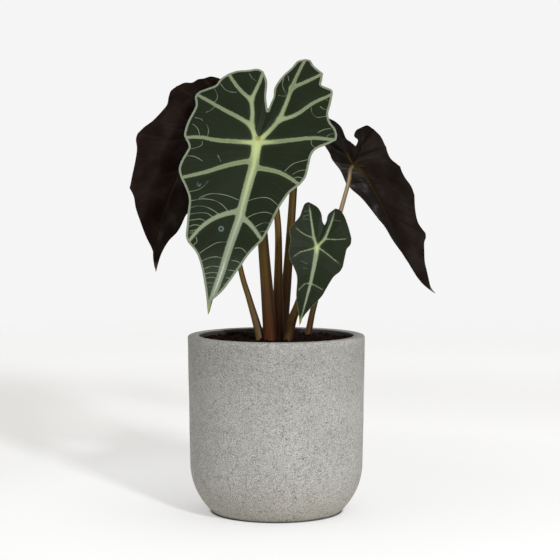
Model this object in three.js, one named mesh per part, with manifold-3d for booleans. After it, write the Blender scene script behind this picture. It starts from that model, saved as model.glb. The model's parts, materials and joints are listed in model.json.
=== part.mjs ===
// Potted alocasia: a round-bottomed concrete pot, its soil, and a plant of six leaves
// Millimetres, +Z up. The origin is the centre of the pot's flat base, and the front faces -Y.

import * as THREE from "three";
import { mergeVertices } from "three/addons/utils/BufferGeometryUtils.js";
import Module from "manifold-3d";

const wasm = await Module();
wasm.setup();

// Driving dimensions of the pot
const POT_HEIGHT = 180;
const POT_RIM_RADIUS = 90;
const POT_WALL_RADIUS = 88;
const POT_BASE_RADIUS = 65;
const POT_CORNER_RADIUS = 66;
const POT_WALL = 12.3;
const POT_FLOOR = 15;
const POT_EDGE_RADIUS = 2.5;
const POT_SIDES = 48;
const CORNER_STEPS = 3;
const EDGE_STEPS = 1;

// Driving dimensions of the soil and the corm that the stalks grow from
const SOIL_LEVEL = 175;
const SOIL_SIDES = 32;
const SOIL_RINGS = [0, 14, 28, 42, 54, 66];
const CORM_TOP = 153;
const CORM_BOTTOM = 118;
const CORM_RADIUS = 29;
const CORM_CENTRE = [2, -4];
const GAP = 0.3;

// Driving dimensions of the blades: thickness, and the ribs raised on each side
const BLADE_THICKNESS = 1.2;
const RIB_UPPER = 0.5;
const RIB_LOWER = 1.9;
const VEIN_UPPER = 0.35;
const VEIN_LOWER = 1.1;
const VEIN_FADE_LENGTH = 110;
const VEIN_LEAST = 0.25;
const FAN_LANES = 4;
const CREASE_SOFTNESS = 6;

// Stalks are round tubes of this many sides, with this many steps along them
const STALK_SIDES = 8;
const STALK_STEPS = 14;
const NECK_RADII = 1.2;
const STALK_TAPER = 1.5;
const ROOT_RISE = 4;
const HOLE_CLEARANCE = 0.35;

// A flat blade is drawn with x across it and y towards its lobes, from the point that the stalk
// meets. `midrib` runs from there to the tip in stretches that end where side veins leave it.
// Each half lists its veins from the sinus round to the tip. `legs` are the stretches between the
// forks that a vein shares with its neighbours, and `edge` is the margin before the vein's end.
function frontOutline() {
  const leftStem = [[0, 0], [-6, 18]];
  const leftNeck = [[-6, 18], [-7, 46]];
  const rightStem = [[0, 0], [13, 13], [22, 24]];
  const rightNeck = [[22, 24], [29, 44], [33, 58]];
  return {
    sinus: [10, 34],
    midrib: [
      { cells: 4, through: [[-2, -18]] },
      { cells: 1, through: [[-3, -25]] },
      { cells: 4, through: [[-8, -44], [-14, -68]] },
      { cells: 1, through: [[-15, -74]] },
      { cells: 7, through: [[-23, -97], [-29, -116], [-35, -135], [-42, -152], [-46, -168]] },
    ],
    left: [
      { edge: [[8, 48], [8, 66]], legs: [leftStem, leftNeck, [[-7, 46], [-3, 56], [1, 67], [4, 78]]] },
      {
        edge: [[-2, 81], [-12, 79], [-23, 78]],
        legs: [leftStem, leftNeck, [[-7, 46], [-14, 52], [-22, 61], [-31, 75]]],
      },
      {
        edge: [[-38, 69], [-43, 61], [-52, 57], [-59, 54]],
        legs: [leftStem, [[-6, 18], [-18, 26], [-33, 34], [-48, 43], [-62, 51]]],
      },
      {
        edge: [[-63, 47], [-62, 37], [-69, 20], [-72, 8]],
        legs: [[[0, 0], [-22, 1], [-41, 2], [-56, 5], [-71, 4]]],
      },
      {
        edge: [[-67, -5], [-69, -11], [-74, -21], [-76, -29]],
        legs: [[[-2, -18], [-21, -21], [-36, -25], [-50, -30], [-74, -37]]],
        from: 1,
      },
      {
        edge: [[-68, -47], [-64, -58], [-65, -70], [-67, -85], [-68, -94]],
        legs: [[[-14, -68], [-30, -72], [-42, -77], [-54, -86], [-66, -100]]],
        from: 3,
      },
    ],
    leftTip: [[-57, -111], [-52, -126], [-49, -142], [-47, -155]],
    right: [
      {
        edge: [[12, 41], [15, 49], [16, 59], [23, 71], [32, 81], [38, 89]],
        legs: [rightStem, rightNeck, [[33, 58], [38, 72], [46, 91]]],
      },
      {
        edge: [[51, 89], [55, 82]],
        legs: [rightStem, rightNeck, [[33, 58], [44, 63], [54, 68], [64, 74]]],
      },
      {
        edge: [[63, 66], [63, 60], [73, 55]],
        legs: [rightStem, [[22, 24], [32, 26], [42, 31], [55, 41], [74, 50]]],
      },
      {
        edge: [[72, 38], [70, 29], [72, 20], [77, 13], [79, 6]],
        legs: [[[0, 0], [18, 1], [38, 3], [57, 4], [78, 1]]],
      },
      {
        edge: [[70, -3], [59, -8], [54, -15], [52, -24], [49, -36]],
        legs: [[[-3, -25], [11, -27], [23, -30], [33, -36], [43, -44]]],
        from: 2,
      },
      {
        edge: [[34, -51], [28, -59], [21, -71], [14, -86]],
        legs: [[[-15, -74], [-5, -82], [7, -98]]],
        from: 4,
      },
    ],
    rightTip: [[-5, -110], [-15, -124], [-24, -136], [-33, -147], [-43, -157]],
  };
}

function leftOutline() {
  const nearStem = [[0, 0], [8, 16]];
  const nearNeck = [[8, 16], [14, 35]];
  const farStem = [[0, 0], [-6, 17]];
  const farNeck = [[-6, 17], [-8, 38]];
  return {
    sinus: [3, 28],
    midrib: [
      { cells: 4, through: [[3, -20]] },
      { cells: 4, through: [[10, -60]] },
      { cells: 7, through: [[14, -97], [16, -120], [16, -146], [9, -166]] },
    ],
    left: [
      { edge: [[0, 42], [-2, 54]], legs: [farStem, farNeck, [[-8, 38], [-8, 60]]] },
      { edge: [[-16, 62]], legs: [farStem, farNeck, [[-8, 38], [-18, 50], [-27, 57]]] },
      { edge: [[-39, 53]], legs: [farStem, [[-6, 17], [-30, 30], [-52, 43]]] },
      { edge: [[-56, 34], [-57, 20]], legs: [[[0, 0], [-30, 2], [-61, 5]]] },
      { edge: [[-62, -8], [-63, -22]], legs: [[[3, -20], [-28, -27], [-60, -37]]], from: 1 },
      { edge: [[-56, -54], [-51, -72]], legs: [[[10, -60], [-20, -72], [-44, -88]]], from: 2 },
    ],
    leftTip: [[-35, -100], [-24, -110], [-20, -121], [-15, -129], [-4, -137], [5, -150]],
    right: [
      { edge: [[7, 40], [11, 49]], legs: [nearStem, nearNeck, [[14, 35], [20, 53]]] },
      { edge: [[30, 53]], legs: [nearStem, nearNeck, [[14, 35], [26, 43], [39, 50]]] },
      {
        edge: [[45, 48], [49, 43], [59, 42]],
        legs: [nearStem, [[8, 16], [25, 22], [45, 30], [67, 37]]],
      },
      { edge: [[70, 31], [68, 24], [65, 15]], legs: [[[0, 0], [30, 1], [50, 4], [67, 8]]] },
      {
        edge: [[72, -6], [80, -14]],
        legs: [[[3, -20], [30, -24], [60, -24], [85, -21]]],
        from: 1,
      },
      {
        edge: [[84, -28], [77, -39], [73, -53], [71, -71]],
        legs: [[[10, -60], [35, -66], [55, -74], [70, -81]]],
        from: 2,
      },
    ],
    rightTip: [[61, -90], [54, -102], [43, -116], [31, -131], [19, -144], [12, -157]],
  };
}

function rightOutline() {
  const nearStem = [[0, 0], [-15, 12]];
  const nearNeck = [[-15, 12], [-25, 26]];
  const farStem = [[0, 0], [2, 15]];
  const farNeck = [[2, 15], [5, 32]];
  return {
    sinus: [-15, 24],
    midrib: [
      { cells: 4, through: [[-8, -8], [-13, -20]] },
      { cells: 4, through: [[-14, -45], [-16, -62]] },
      { cells: 7, through: [[-20, -98], [-29, -116], [-43, -134], [-64, -143]] },
    ],
    left: [
      {
        edge: [[-20, 30], [-17, 35], [-22, 41]],
        legs: [nearStem, nearNeck, [[-25, 26], [-30, 44]]],
      },
      { edge: [[-37, 45]], legs: [nearStem, nearNeck, [[-25, 26], [-36, 33], [-45, 41]]] },
      { edge: [[-50, 33]], legs: [nearStem, [[-15, 12], [-32, 17], [-53, 21]]] },
      { edge: [[-51, 6]], legs: [[[0, 0], [-25, 0], [-59, -4]]] },
      { edge: [[-58, -17], [-60, -31]], legs: [[[-13, -20], [-35, -27], [-59, -41]]], from: 1 },
      { edge: [[-52, -59], [-50, -74]], legs: [[[-16, -62], [-35, -72], [-55, -87]]], from: 2 },
    ],
    leftTip: [[-54, -92], [-50, -99], [-48, -114], [-50, -125], [-55, -137]],
    right: [
      {
        edge: [[-10, 29], [-5, 33], [-3, 44], [2, 49]],
        legs: [farStem, farNeck, [[5, 32], [8, 51]]],
      },
      { edge: [[18, 51]], legs: [farStem, farNeck, [[5, 32], [17, 40], [27, 47]]] },
      { edge: [[36, 40]], legs: [farStem, [[2, 15], [22, 21], [42, 28]]] },
      { edge: [[42, 15], [40, 6]], legs: [[[0, 0], [22, -1], [43, -4]]] },
      { edge: [[46, -11], [50, -27]], legs: [[[-13, -20], [20, -31], [57, -45]]], from: 1 },
      {
        edge: [[53, -54], [41, -60], [26, -71]],
        legs: [[[-16, -62], [0, -69], [13, -79]]],
        from: 2,
      },
    ],
    rightTip: [[2, -85], [-5, -96], [-17, -106], [-30, -118], [-40, -129], [-52, -138]],
  };
}

// The young leaf has one fork in each lobe and two more side veins
function youngOutline() {
  const leftStem = [[0, 0], [-3, 9]];
  const rightStem = [[0, 0], [8, 8]];
  return {
    sinus: [8, 22],
    midrib: [
      { cells: 5, through: [[-2, -13], [-7, -36]] },
      { cells: 5, through: [[-12, -52], [-16, -66], [-18, -77]] },
    ],
    left: [
      { edge: [[6, 26], [5, 34], [1, 41]], legs: [leftStem, [[-3, 9], [-5, 27], [-7, 46]]] },
      { edge: [[-11, 44], [-14, 37], [-17, 30]], legs: [leftStem, [[-3, 9], [-13, 14], [-24, 22]]] },
      { edge: [[-27, 17], [-26, 7], [-28, -4]], legs: [[[0, 0], [-9, -3], [-17, -5], [-27, -13]]] },
      { edge: [[-23, -21], [-20, -31]], legs: [[[-7, -36], [-12, -37], [-21, -45]]], from: 1 },
    ],
    leftTip: [[-21, -52], [-19, -63]],
    right: [
      { edge: [[10, 26], [12, 33]], legs: [rightStem, [[8, 8], [15, 25], [19, 39]]] },
      { edge: [[24, 37], [28, 30], [32, 17]], legs: [rightStem, [[8, 8], [20, 8], [34, 8]]] },
      { edge: [[33, 2], [29, -3], [27, -11]], legs: [[[0, 0], [8, -5], [15, -11], [25, -20]]] },
      { edge: [[22, -25], [15, -31]], legs: [[[-7, -36], [-2, -38], [7, -44]]], from: 1 },
    ],
    rightTip: [[3, -50], [-8, -61], [-15, -70]],
  };
}

// Each leaf: where its stalk meets the blade, how the blade faces and bends, and the stalk's route
// from the corm, with its radii at the soil and at the blade.
// `turn` is the compass angle that the upper side faces, from +Y towards +X, `pitch` lifts it, and
// `roll` turns the blade in its own plane. `fold` closes each half about the midrib in degrees, at
// the junction and at the tip. `arch` bends the blade down its length, towards the tip and lobes.
const LEAVES = [
  {
    name: "front",
    outline: frontOutline(),
    junction: [-19, -40, 373.5],
    facing: { turn: 184, pitch: 18, roll: 0 },
    fold: { left: [4, 4], right: [4, 4] },
    arch: { tip: 0.001, lobes: 0.0012 },
    ribHalfWidth: 4.2,
    veinHalfWidth: 2.4,
    quilt: 1.2,
    wave: 1.4,
    rows: 8,
    route: [[-6, -10, 176], [-8.5, -13, 215], [-12.6, -19, 267], [-17, -26, 330]],
    radii: [6.2, 3.8],
    green: 0x2a3129,
    stalk: 0x4c2a1c,
  },
  {
    name: "small",
    outline: youngOutline(),
    junction: [40, -50, 271.3],
    facing: { turn: 176, pitch: 14, roll: 0 },
    fold: { left: [5, 5], right: [5, 5] },
    arch: { tip: 0.0015, lobes: 0.0015 },
    ribHalfWidth: 2,
    veinHalfWidth: 1.3,
    quilt: 0.7,
    wave: 0.8,
    rows: 8,
    route: [[11.5, -11, 176], [16.4, -16, 198], [21, -21, 210], [31.5, -33, 243]],
    radii: [4.3, 2.3],
    green: 0x28322a,
    stalk: 0x4b3717,
  },
  {
    name: "left",
    outline: leftOutline(),
    junction: [-70.1, 25, 397.3],
    facing: { turn: -50, pitch: 36, roll: 0 },
    fold: { left: [4, 4], right: [4, 4] },
    arch: { tip: 0.0014, lobes: 0.0012 },
    ribHalfWidth: 4,
    veinHalfWidth: 2.3,
    quilt: 1.4,
    wave: 1,
    rows: 8,
    route: [[-16.6, -5, 176], [-27.2, 1, 215], [-35, 7, 240], [-52, 15, 325]],
    radii: [3.1, 1.5],
    green: 0x1c1414,
    stalk: 0x5f5032,
  },
  {
    name: "right",
    outline: rightOutline(),
    junction: [80.7, 50, 352.5],
    facing: { turn: 60, pitch: 42, roll: 10 },
    fold: { left: [14, 24], right: [5, 26] },
    arch: { tip: 0.0016, lobes: -0.004 },
    ribHalfWidth: 3.6,
    veinHalfWidth: 2.1,
    quilt: 1.4,
    wave: 0.8,
    rows: 8,
    route: [[30.5, 31, 170], [37.6, 34, 201], [52, 39, 253], [67.3, 44, 307], [75.2, 46.5, 336]],
    radii: [2.9, 2],
    green: 0x1c1414,
    stalk: 0xb29a7c,
  },
  {
    name: "mid",
    outline: youngOutline(),
    junction: [-26, 30, 384],
    facing: { turn: -35, pitch: 50, roll: 0 },
    fold: { left: [7, 7], right: [7, 7] },
    arch: { tip: 0.0018, lobes: 0.0015 },
    ribHalfWidth: 2.2,
    veinHalfWidth: 1.4,
    quilt: 0.7,
    wave: 0.8,
    rows: 8,
    route: [[1.8, -2.5, 176], [1.9, 1, 228], [0.8, 9, 300], [-10, 17, 350]],
    radii: [3.8, 2.6],
    green: 0x2a3129,
    stalk: 0x4e3a18,
  },
  {
    name: "back",
    outline: youngOutline(),
    junction: [20, 60, 404],
    facing: { turn: -25, pitch: 66, roll: 0 },
    fold: { left: [7, 7], right: [7, 7] },
    arch: { tip: 0.0018, lobes: 0.0015 },
    ribHalfWidth: 2.2,
    veinHalfWidth: 1.4,
    quilt: 0.7,
    wave: 0.8,
    rows: 8,
    route: [[6.5, 5.5, 176], [7.4, 8, 197], [10.6, 17, 233], [17, 34, 320]],
    radii: [4.6, 3.3],
    green: 0x2a3129,
    stalk: 0x452c10,
  },
];

// The corm end of each stalk, at the corm's top
const STALK_ROOTS = {
  front: [-6, -10],
  small: [10.5, -9],
  left: [-16.5, -6],
  right: [20, 12],
  mid: [1.8, -2.5],
  back: [6.5, 5.5],
};

// Solids: closed geometry to a manifold and back. A lathe's triangles that end on the axis as lines
// are dropped.
function toSolid(geometry) {
  const bare = new THREE.BufferGeometry();
  bare.setAttribute("position", geometry.getAttribute("position").clone());
  bare.setIndex(geometry.index);
  const merged = mergeVertices(bare, 1e-3);
  const corners = Array.from(merged.index.array);
  const triVerts = [];
  for (let i = 0; i < corners.length; i += 3) {
    const [a, b, c] = corners.slice(i, i + 3);
    if (a !== b && b !== c && c !== a) triVerts.push(a, b, c);
  }
  return new wasm.Manifold(
    new wasm.Mesh({
      numProp: 3,
      vertProperties: new Float32Array(merged.getAttribute("position").array),
      triVerts: new Uint32Array(triVerts),
    }),
  );
}

function toGeometry(solid) {
  const mesh = solid.getMesh();
  const geometry = new THREE.BufferGeometry();
  geometry.setAttribute("position", new THREE.BufferAttribute(mesh.vertProperties, 3));
  geometry.setIndex(new THREE.BufferAttribute(mesh.triVerts, 1));
  geometry.computeVertexNormals();
  return geometry;
}

// A closed geometry from triangles of points, with shared corners merged and flat slivers dropped
function weld(triangles) {
  const places = new Map();
  const positions = [];
  const indices = [];
  const indexOf = (point) => {
    const key = point.toArray().map((value) => value.toFixed(3)).join();
    if (!places.has(key)) {
      places.set(key, positions.length / 3);
      positions.push(...point.toArray());
    }
    return places.get(key);
  };
  for (const triangle of triangles) {
    const [a, b, c] = triangle.map(indexOf);
    if (a !== b && b !== c && c !== a) indices.push(a, b, c);
  }
  const geometry = new THREE.BufferGeometry();
  geometry.setAttribute("position", new THREE.Float32BufferAttribute(positions, 3));
  geometry.setIndex(indices);
  geometry.computeVertexNormals();
  return geometry;
}

// A profile of radius and height points, turned about the Z axis
function lathe(points, sides) {
  return new THREE.LatheGeometry(points, sides).rotateX(Math.PI / 2);
}

// Pot: flat base, one large corner arc, a wall that widens a little, and a rounded rim
function innerRadiusAt(height) {
  const share = (height - POT_CORNER_RADIUS) / (POT_HEIGHT - POT_CORNER_RADIUS);
  return THREE.MathUtils.lerp(POT_WALL_RADIUS, POT_RIM_RADIUS, share) - POT_WALL;
}

function innerProfile(clearance, top) {
  const corner = POT_CORNER_RADIUS - POT_WALL;
  const wall = innerRadiusAt(POT_CORNER_RADIUS);
  const path = new THREE.Path();
  const floor = POT_FLOOR + clearance;
  path.moveTo(0, floor);
  path.lineTo(wall - corner, floor);
  path.absarc(wall - corner, floor + corner - clearance, corner - clearance, -Math.PI / 2, 0, false);
  path.lineTo(innerRadiusAt(top) - clearance, top);
  return path.getPoints(CORNER_STEPS);
}

function potGeometry() {
  const cornerCentre = POT_WALL_RADIUS - POT_CORNER_RADIUS;
  const cornerHeight = Math.sqrt(POT_CORNER_RADIUS ** 2 - (POT_BASE_RADIUS - cornerCentre) ** 2);
  const start = Math.atan2(-cornerHeight, POT_BASE_RADIUS - cornerCentre);
  const outer = new THREE.Path();
  outer.moveTo(0, 0);
  outer.lineTo(POT_BASE_RADIUS, 0);
  outer.absarc(cornerCentre, cornerHeight, POT_CORNER_RADIUS, start, 0, false);
  const rimCentre = POT_HEIGHT - POT_EDGE_RADIUS;
  const rim = new THREE.Path();
  rim.absarc(POT_RIM_RADIUS - POT_EDGE_RADIUS, rimCentre, POT_EDGE_RADIUS, 0, Math.PI / 2, false);
  const innerEdge = innerRadiusAt(rimCentre) + POT_EDGE_RADIUS;
  rim.absarc(innerEdge, rimCentre, POT_EDGE_RADIUS, Math.PI / 2, Math.PI, false);
  const inner = innerProfile(0, rimCentre - 1).reverse();
  const profile = [...outer.getPoints(CORNER_STEPS), ...rim.getPoints(EDGE_STEPS), ...inner];
  return lathe(profile, POT_SIDES);
}

// Corm: a squat round body with a flat top, sunk in the soil
function cormGeometry(clearance) {
  const middle = (CORM_TOP + CORM_BOTTOM) / 2;
  const half = (CORM_TOP - CORM_BOTTOM) / 2 + clearance;
  const radius = CORM_RADIUS + clearance;
  const profile = [
    new THREE.Vector2(0, middle - half),
    new THREE.Vector2(radius * 0.5, middle - half * 0.86),
    new THREE.Vector2(radius * 0.86, middle - half * 0.5),
    new THREE.Vector2(radius, middle),
    new THREE.Vector2(radius, middle + half),
    new THREE.Vector2(0, middle + half),
  ];
  return lathe(profile, 24).translate(...CORM_CENTRE, 0);
}

// The soil's top is a little uneven, and a little higher behind the stalks
function soilHeight(x, y) {
  const ripples = 0.7 * Math.sin(x / 9 + 0.6) * Math.cos(y / 11) + 0.4 * Math.sin((x + 2 * y) / 7);
  const rise = 1.8 * Math.exp(-((x - 26) ** 2 + (y - 36) ** 2) / 900);
  return SOIL_LEVEL + ripples + rise;
}

function soilGeometry(stalkRoutes) {
  const side = innerProfile(GAP, SOIL_LEVEL);
  const surface = SOIL_RINGS.map((radius) => new THREE.Vector2(radius, SOIL_LEVEL)).reverse();
  const blank = lathe([...side, ...surface], SOIL_SIDES);
  const places = blank.getAttribute("position");
  for (let i = 0; i < places.count; i++) {
    if (places.getZ(i) < SOIL_LEVEL - 1) continue;
    places.setZ(i, soilHeight(places.getX(i), places.getY(i)));
  }
  let solid = toSolid(blank).subtract(toSolid(cormGeometry(2 * GAP)));
  for (const { points, radii } of stalkRoutes) {
    const wider = radii.map((radius) => radius + HOLE_CLEARANCE);
    solid = solid.subtract(toSolid(stalkGeometry(points, wider)));
  }
  const bodies = solid.decompose().sort((a, b) => b.volume() - a.volume());
  return toGeometry(bodies[0]);
}

// Stalk: a round tube along a curve, thinning from the soil to the blade, with flat ends
function stalkGeometry(points, [lowRadius, highRadius]) {
  const curve = new THREE.CatmullRomCurve3(points, false, "centripetal");
  const { normals, binormals } = curve.computeFrenetFrames(STALK_STEPS, false);
  const rings = [];
  for (let i = 0; i <= STALK_STEPS; i++) {
    const centre = curve.getPointAt(i / STALK_STEPS);
    const radius = THREE.MathUtils.lerp(lowRadius, highRadius, (i / STALK_STEPS) ** STALK_TAPER);
    const ring = [];
    for (let k = 0; k < STALK_SIDES; k++) {
      const angle = (2 * Math.PI * k) / STALK_SIDES;
      ring.push(
        centre
          .clone()
          .addScaledVector(normals[i], radius * Math.cos(angle))
          .addScaledVector(binormals[i], radius * Math.sin(angle)),
      );
    }
    rings.push({ centre, ring });
  }
  const triangles = [];
  for (let k = 0; k < STALK_SIDES; k++) {
    const next = (k + 1) % STALK_SIDES;
    for (let i = 0; i < STALK_STEPS; i++) {
      const low = rings[i].ring;
      const high = rings[i + 1].ring;
      triangles.push([low[k], low[next], high[next]], [low[k], high[next], high[k]]);
    }
    const first = rings[0];
    const last = rings[STALK_STEPS];
    triangles.push([first.centre, first.ring[next], first.ring[k]]);
    triangles.push([last.centre, last.ring[k], last.ring[next]]);
  }
  return weld(triangles);
}

// The three directions of a blade: across it, towards its lobes, and out of its upper side
function bladeAxes({ turn, pitch, roll }) {
  const [s, p, r] = [turn, pitch, roll].map(THREE.MathUtils.degToRad);
  const out = new THREE.Vector3(Math.sin(s) * Math.cos(p), Math.cos(s) * Math.cos(p), Math.sin(p));
  const up = new THREE.Vector3(-Math.sin(s) * Math.sin(p), -Math.cos(s) * Math.sin(p), Math.cos(p));
  const across = new THREE.Vector3().crossVectors(up, out);
  return {
    across: across.clone().multiplyScalar(Math.cos(r)).addScaledVector(up, Math.sin(r)),
    up: up.clone().multiplyScalar(Math.cos(r)).addScaledVector(across, -Math.sin(r)),
    out,
  };
}

// A smooth line through flat points, cut into equal steps
function sample(points, cells) {
  const curve = new THREE.SplineCurve(points.map(([x, y]) => new THREE.Vector2(x, y)));
  return Array.from({ length: cells + 1 }, (_, i) => curve.getPointAt(i / cells));
}

// Midrib of a blade: its points, and the index at which each stretch ends
function sampleMidrib(outline) {
  const points = [new THREE.Vector2(0, 0)];
  const stations = [0];
  for (const { cells, through } of outline.midrib) {
    const last = points[points.length - 1];
    points.push(...sample([last.toArray(), ...through], cells).slice(1));
    stations.push(points.length - 1);
  }
  return { points, stations };
}

// One vein's points: the legs shared with a neighbour take equal numbers of rows, and the first row
// lies at the edge of the rib that the vein grows on
function sampleVein(legs, rows, ribHalfWidth) {
  const shared = legs.length - 1;
  const sharedRows = Math.floor(rows / 4);
  const points = legs.slice(0, shared).flatMap((leg) => sample(leg, sharedRows).slice(0, -1));
  const lastRows = rows - shared * sharedRows;
  const last = legs[shared];
  if (shared > 0) return [...points, ...sample(last, lastRows)];
  const curve = new THREE.SplineCurve(last.map(([x, y]) => new THREE.Vector2(x, y)));
  const first = Math.min(ribHalfWidth / curve.getLength(), 1 / lastRows);
  const places = [0];
  for (let i = 0; i < lastRows; i++) places.push(first + ((1 - first) * i) / (lastRows - 1));
  return places.map((place) => curve.getPointAt(place));
}

// Length of a line up to each of its points
function lengthsOf(points) {
  const lengths = [0];
  for (let i = 1; i < points.length; i++) {
    lengths.push(lengths[i - 1] + points[i].distanceTo(points[i - 1]));
  }
  return lengths;
}

// How far each row lies along a line, from 0 where it parts from its neighbour to 1 at the margin
function reaches(points, partingRow) {
  const lengths = lengthsOf(points);
  const start = lengths[partingRow];
  const span = lengths[lengths.length - 1] - start;
  return lengths.map((length, i) =>
    span > 0 ? Math.max((length - start) / span, 0) : i / (points.length - 1),
  );
}

// One half of a blade as sectors between neighbouring veins, each a grid of flat points with its
// place across the sector (lane) and from the midrib to the margin (reach)
function halfSectors(leaf, side, midrib) {
  const { outline, rows } = leaf;
  const sinus = new THREE.Vector2(...outline.sinus);
  const tip = midrib.points[midrib.points.length - 1];
  const lines = [
    { points: sample([[0, 0], outline.sinus], rows), root: 0, vein: false, legs: [] },
    ...outline[side].map(({ legs, from = 0 }) => ({
      points: sampleVein(legs, rows, leaf.ribHalfWidth),
      root: midrib.stations[from],
      vein: true,
      legs,
    })),
    { points: Array(rows + 1).fill(tip), root: midrib.points.length - 1, vein: false, legs: [] },
  ];
  const edges = [...outline[side].map((vein) => vein.edge), outline[side + "Tip"]];
  return edges.map((edge, k) => {
    const [from, to] = [lines[k], lines[k + 1]];
    const lanes = Math.max(to.root - from.root, 0) || FAN_LANES;
    const sharedLegs = from.legs.filter((leg, i) => leg === to.legs[i]).length;
    const fan = to.root === from.root;
    const partingRow = sharedLegs * Math.floor(rows / 4);
    const start = k === 0 ? sinus : from.points[rows];
    const marginLine = [start.toArray(), ...edge, to.points[rows].toArray()];
    const margin = new THREE.SplineCurve(marginLine.map(([x, y]) => new THREE.Vector2(x, y)));
    return { from, to, lanes, partingRow, margin, fan };
  });
}

function sectorGrid(leaf, sector, midrib) {
  const { from, to, lanes, partingRow, margin, fan } = sector;
  const { rows } = leaf;
  const [fromReach, toReach] = [from, to].map((line) => reaches(line.points, partingRow));
  const [fromLength, toLength] = [from, to].map((line) => lengthsOf(line.points));
  const grid = [];
  for (let i = 0; i <= rows; i++) {
    const spacing = from.points[i].distanceTo(to.points[i]);
    const beside = Math.min(leaf.veinHalfWidth / Math.max(spacing, 1), 0.3);
    const low = from.vein && i > 0 ? beside : 1 / lanes;
    const high = to.vein && i > 0 ? 1 - beside : 1 - 1 / lanes;
    const line = [];
    for (let j = 0; j <= lanes; j++) {
      let lane = j / lanes;
      if (j > 0 && j < lanes) lane = low + ((high - low) * (j - 1)) / Math.max(lanes - 2, 1);
      const reach = THREE.MathUtils.lerp(fromReach[i], toReach[i], lane);
      const length = THREE.MathUtils.lerp(fromLength[i], toLength[i], lane);
      const flat = from.points[i].clone().lerp(to.points[i], lane);
      const outer = from.points[rows].clone().lerp(to.points[rows], lane);
      flat.addScaledVector(margin.getPointAt(lane).sub(outer), reach);
      if (!fan) {
        const inner = from.points[0].clone().lerp(to.points[0], lane);
        const onMidrib = midrib.points[from.root + j].clone();
        flat.addScaledVector(onMidrib.sub(inner), 1 - reach);
      }
      const besideVein = (j === 0 && from.vein) || (j === lanes && to.vein);
      const onVein = i > 0 && (besideVein || (fan && i <= partingRow));
      const ribShare = fan ? 0 : (from.root + j) / (midrib.points.length - 1);
      line.push({ flat, lane, reach, length, onVein, onRib: i === 0, ribShare });
    }
    grid.push(line);
  }
  return grid;
}

// Height of the blade's middle above its flat outline
function bladeHeight(leaf, spine, { flat, lane, reach }) {
  const { x, y } = flat;
  const offset = x - spine(y);
  const [near, far] = offset < 0 ? leaf.fold.left : leaf.fold.right;
  const tipShare = THREE.MathUtils.clamp(y / spine.tip, 0, 1);
  const fold = Math.tan(THREE.MathUtils.degToRad(THREE.MathUtils.lerp(near, far, tipShare)));
  const crease = Math.sqrt(offset ** 2 + CREASE_SOFTNESS ** 2) - CREASE_SOFTNESS;
  const arch = (y < 0 ? leaf.arch.tip : leaf.arch.lobes) * y * y;
  const quilt = leaf.quilt * Math.sin(Math.PI * lane) * Math.sin(Math.PI * Math.min(reach, 1));
  const wave = leaf.wave * reach ** 4 * Math.sin(Math.PI * lane) ** 2;
  return fold * crease - arch + quilt + wave;
}

// Where the midrib's line lies across the blade, at a given distance from the junction
function spineOf(midrib) {
  const spine = (y) => {
    const { points } = midrib;
    if (y >= 0) return 0;
    const next = points.findIndex((point) => point.y <= y);
    if (next < 0) return points[points.length - 1].x;
    const [a, b] = [points[next - 1], points[next]];
    return THREE.MathUtils.lerp(a.x, b.x, (a.y - y) / (a.y - b.y));
  };
  spine.tip = midrib.points[midrib.points.length - 1].y;
  return spine;
}

function bladeGeometry(leaf) {
  const midrib = sampleMidrib(leaf.outline);
  const spine = spineOf(midrib);
  const axes = bladeAxes(leaf.facing);
  const junction = new THREE.Vector3(...leaf.junction);
  const place = (node, side) => {
    let relief = 0;
    if (node.onRib) relief = (side > 0 ? RIB_UPPER : RIB_LOWER) * (1 - node.ribShare);
    const fade = Math.max(1 - node.length / VEIN_FADE_LENGTH, VEIN_LEAST);
    if (node.onVein) relief = (side > 0 ? VEIN_UPPER : VEIN_LOWER) * fade;
    const height = bladeHeight(leaf, spine, node) + side * (BLADE_THICKNESS / 2 + relief);
    return junction
      .clone()
      .addScaledVector(axes.across, node.flat.x)
      .addScaledVector(axes.up, node.flat.y)
      .addScaledVector(axes.out, height);
  };
  const triangles = [];
  for (const side of ["left", "right"]) {
    for (const sector of halfSectors(leaf, side, midrib)) {
      const grid = sectorGrid(leaf, sector, midrib);
      for (let i = 0; i < leaf.rows; i++) {
        for (let j = 0; j < sector.lanes; j++) {
          const corners = [grid[i][j], grid[i + 1][j], grid[i + 1][j + 1], grid[i][j + 1]];
          if (side === "right") corners.reverse();
          const [a, b, c, d] = corners.map((node) => place(node, 1));
          const [e, f, g, h] = corners.map((node) => place(node, -1));
          triangles.push([a, b, c], [a, c, d], [e, g, f], [e, h, g]);
        }
      }
      const rim = grid[leaf.rows];
      for (let j = 0; j < sector.lanes; j++) {
        const ends = side === "left" ? [rim[j], rim[j + 1]] : [rim[j + 1], rim[j]];
        const [a, b] = ends.map((node) => place(node, 1));
        const [c, d] = ends.map((node) => place(node, -1));
        triangles.push([b, a, c], [b, c, d]);
      }
    }
  }
  return weld(triangles);
}

// A stalk's whole route: up from the corm, out of the soil, and round into the blade's underside
function stalkRoute(leaf) {
  const { out } = bladeAxes(leaf.facing);
  const junction = new THREE.Vector3(...leaf.junction);
  const seat = BLADE_THICKNESS / 2 + RIB_LOWER + GAP;
  const [x, y] = STALK_ROOTS[leaf.name];
  const points = [
    new THREE.Vector3(x, y, CORM_TOP + GAP),
    new THREE.Vector3(x, y, CORM_TOP + ROOT_RISE),
    ...leaf.route.map((point) => new THREE.Vector3(...point)),
    junction.clone().addScaledVector(out, -seat - NECK_RADII * leaf.radii[1]),
    junction.clone().addScaledVector(out, -seat),
  ];
  return { points, radii: leaf.radii };
}

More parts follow.
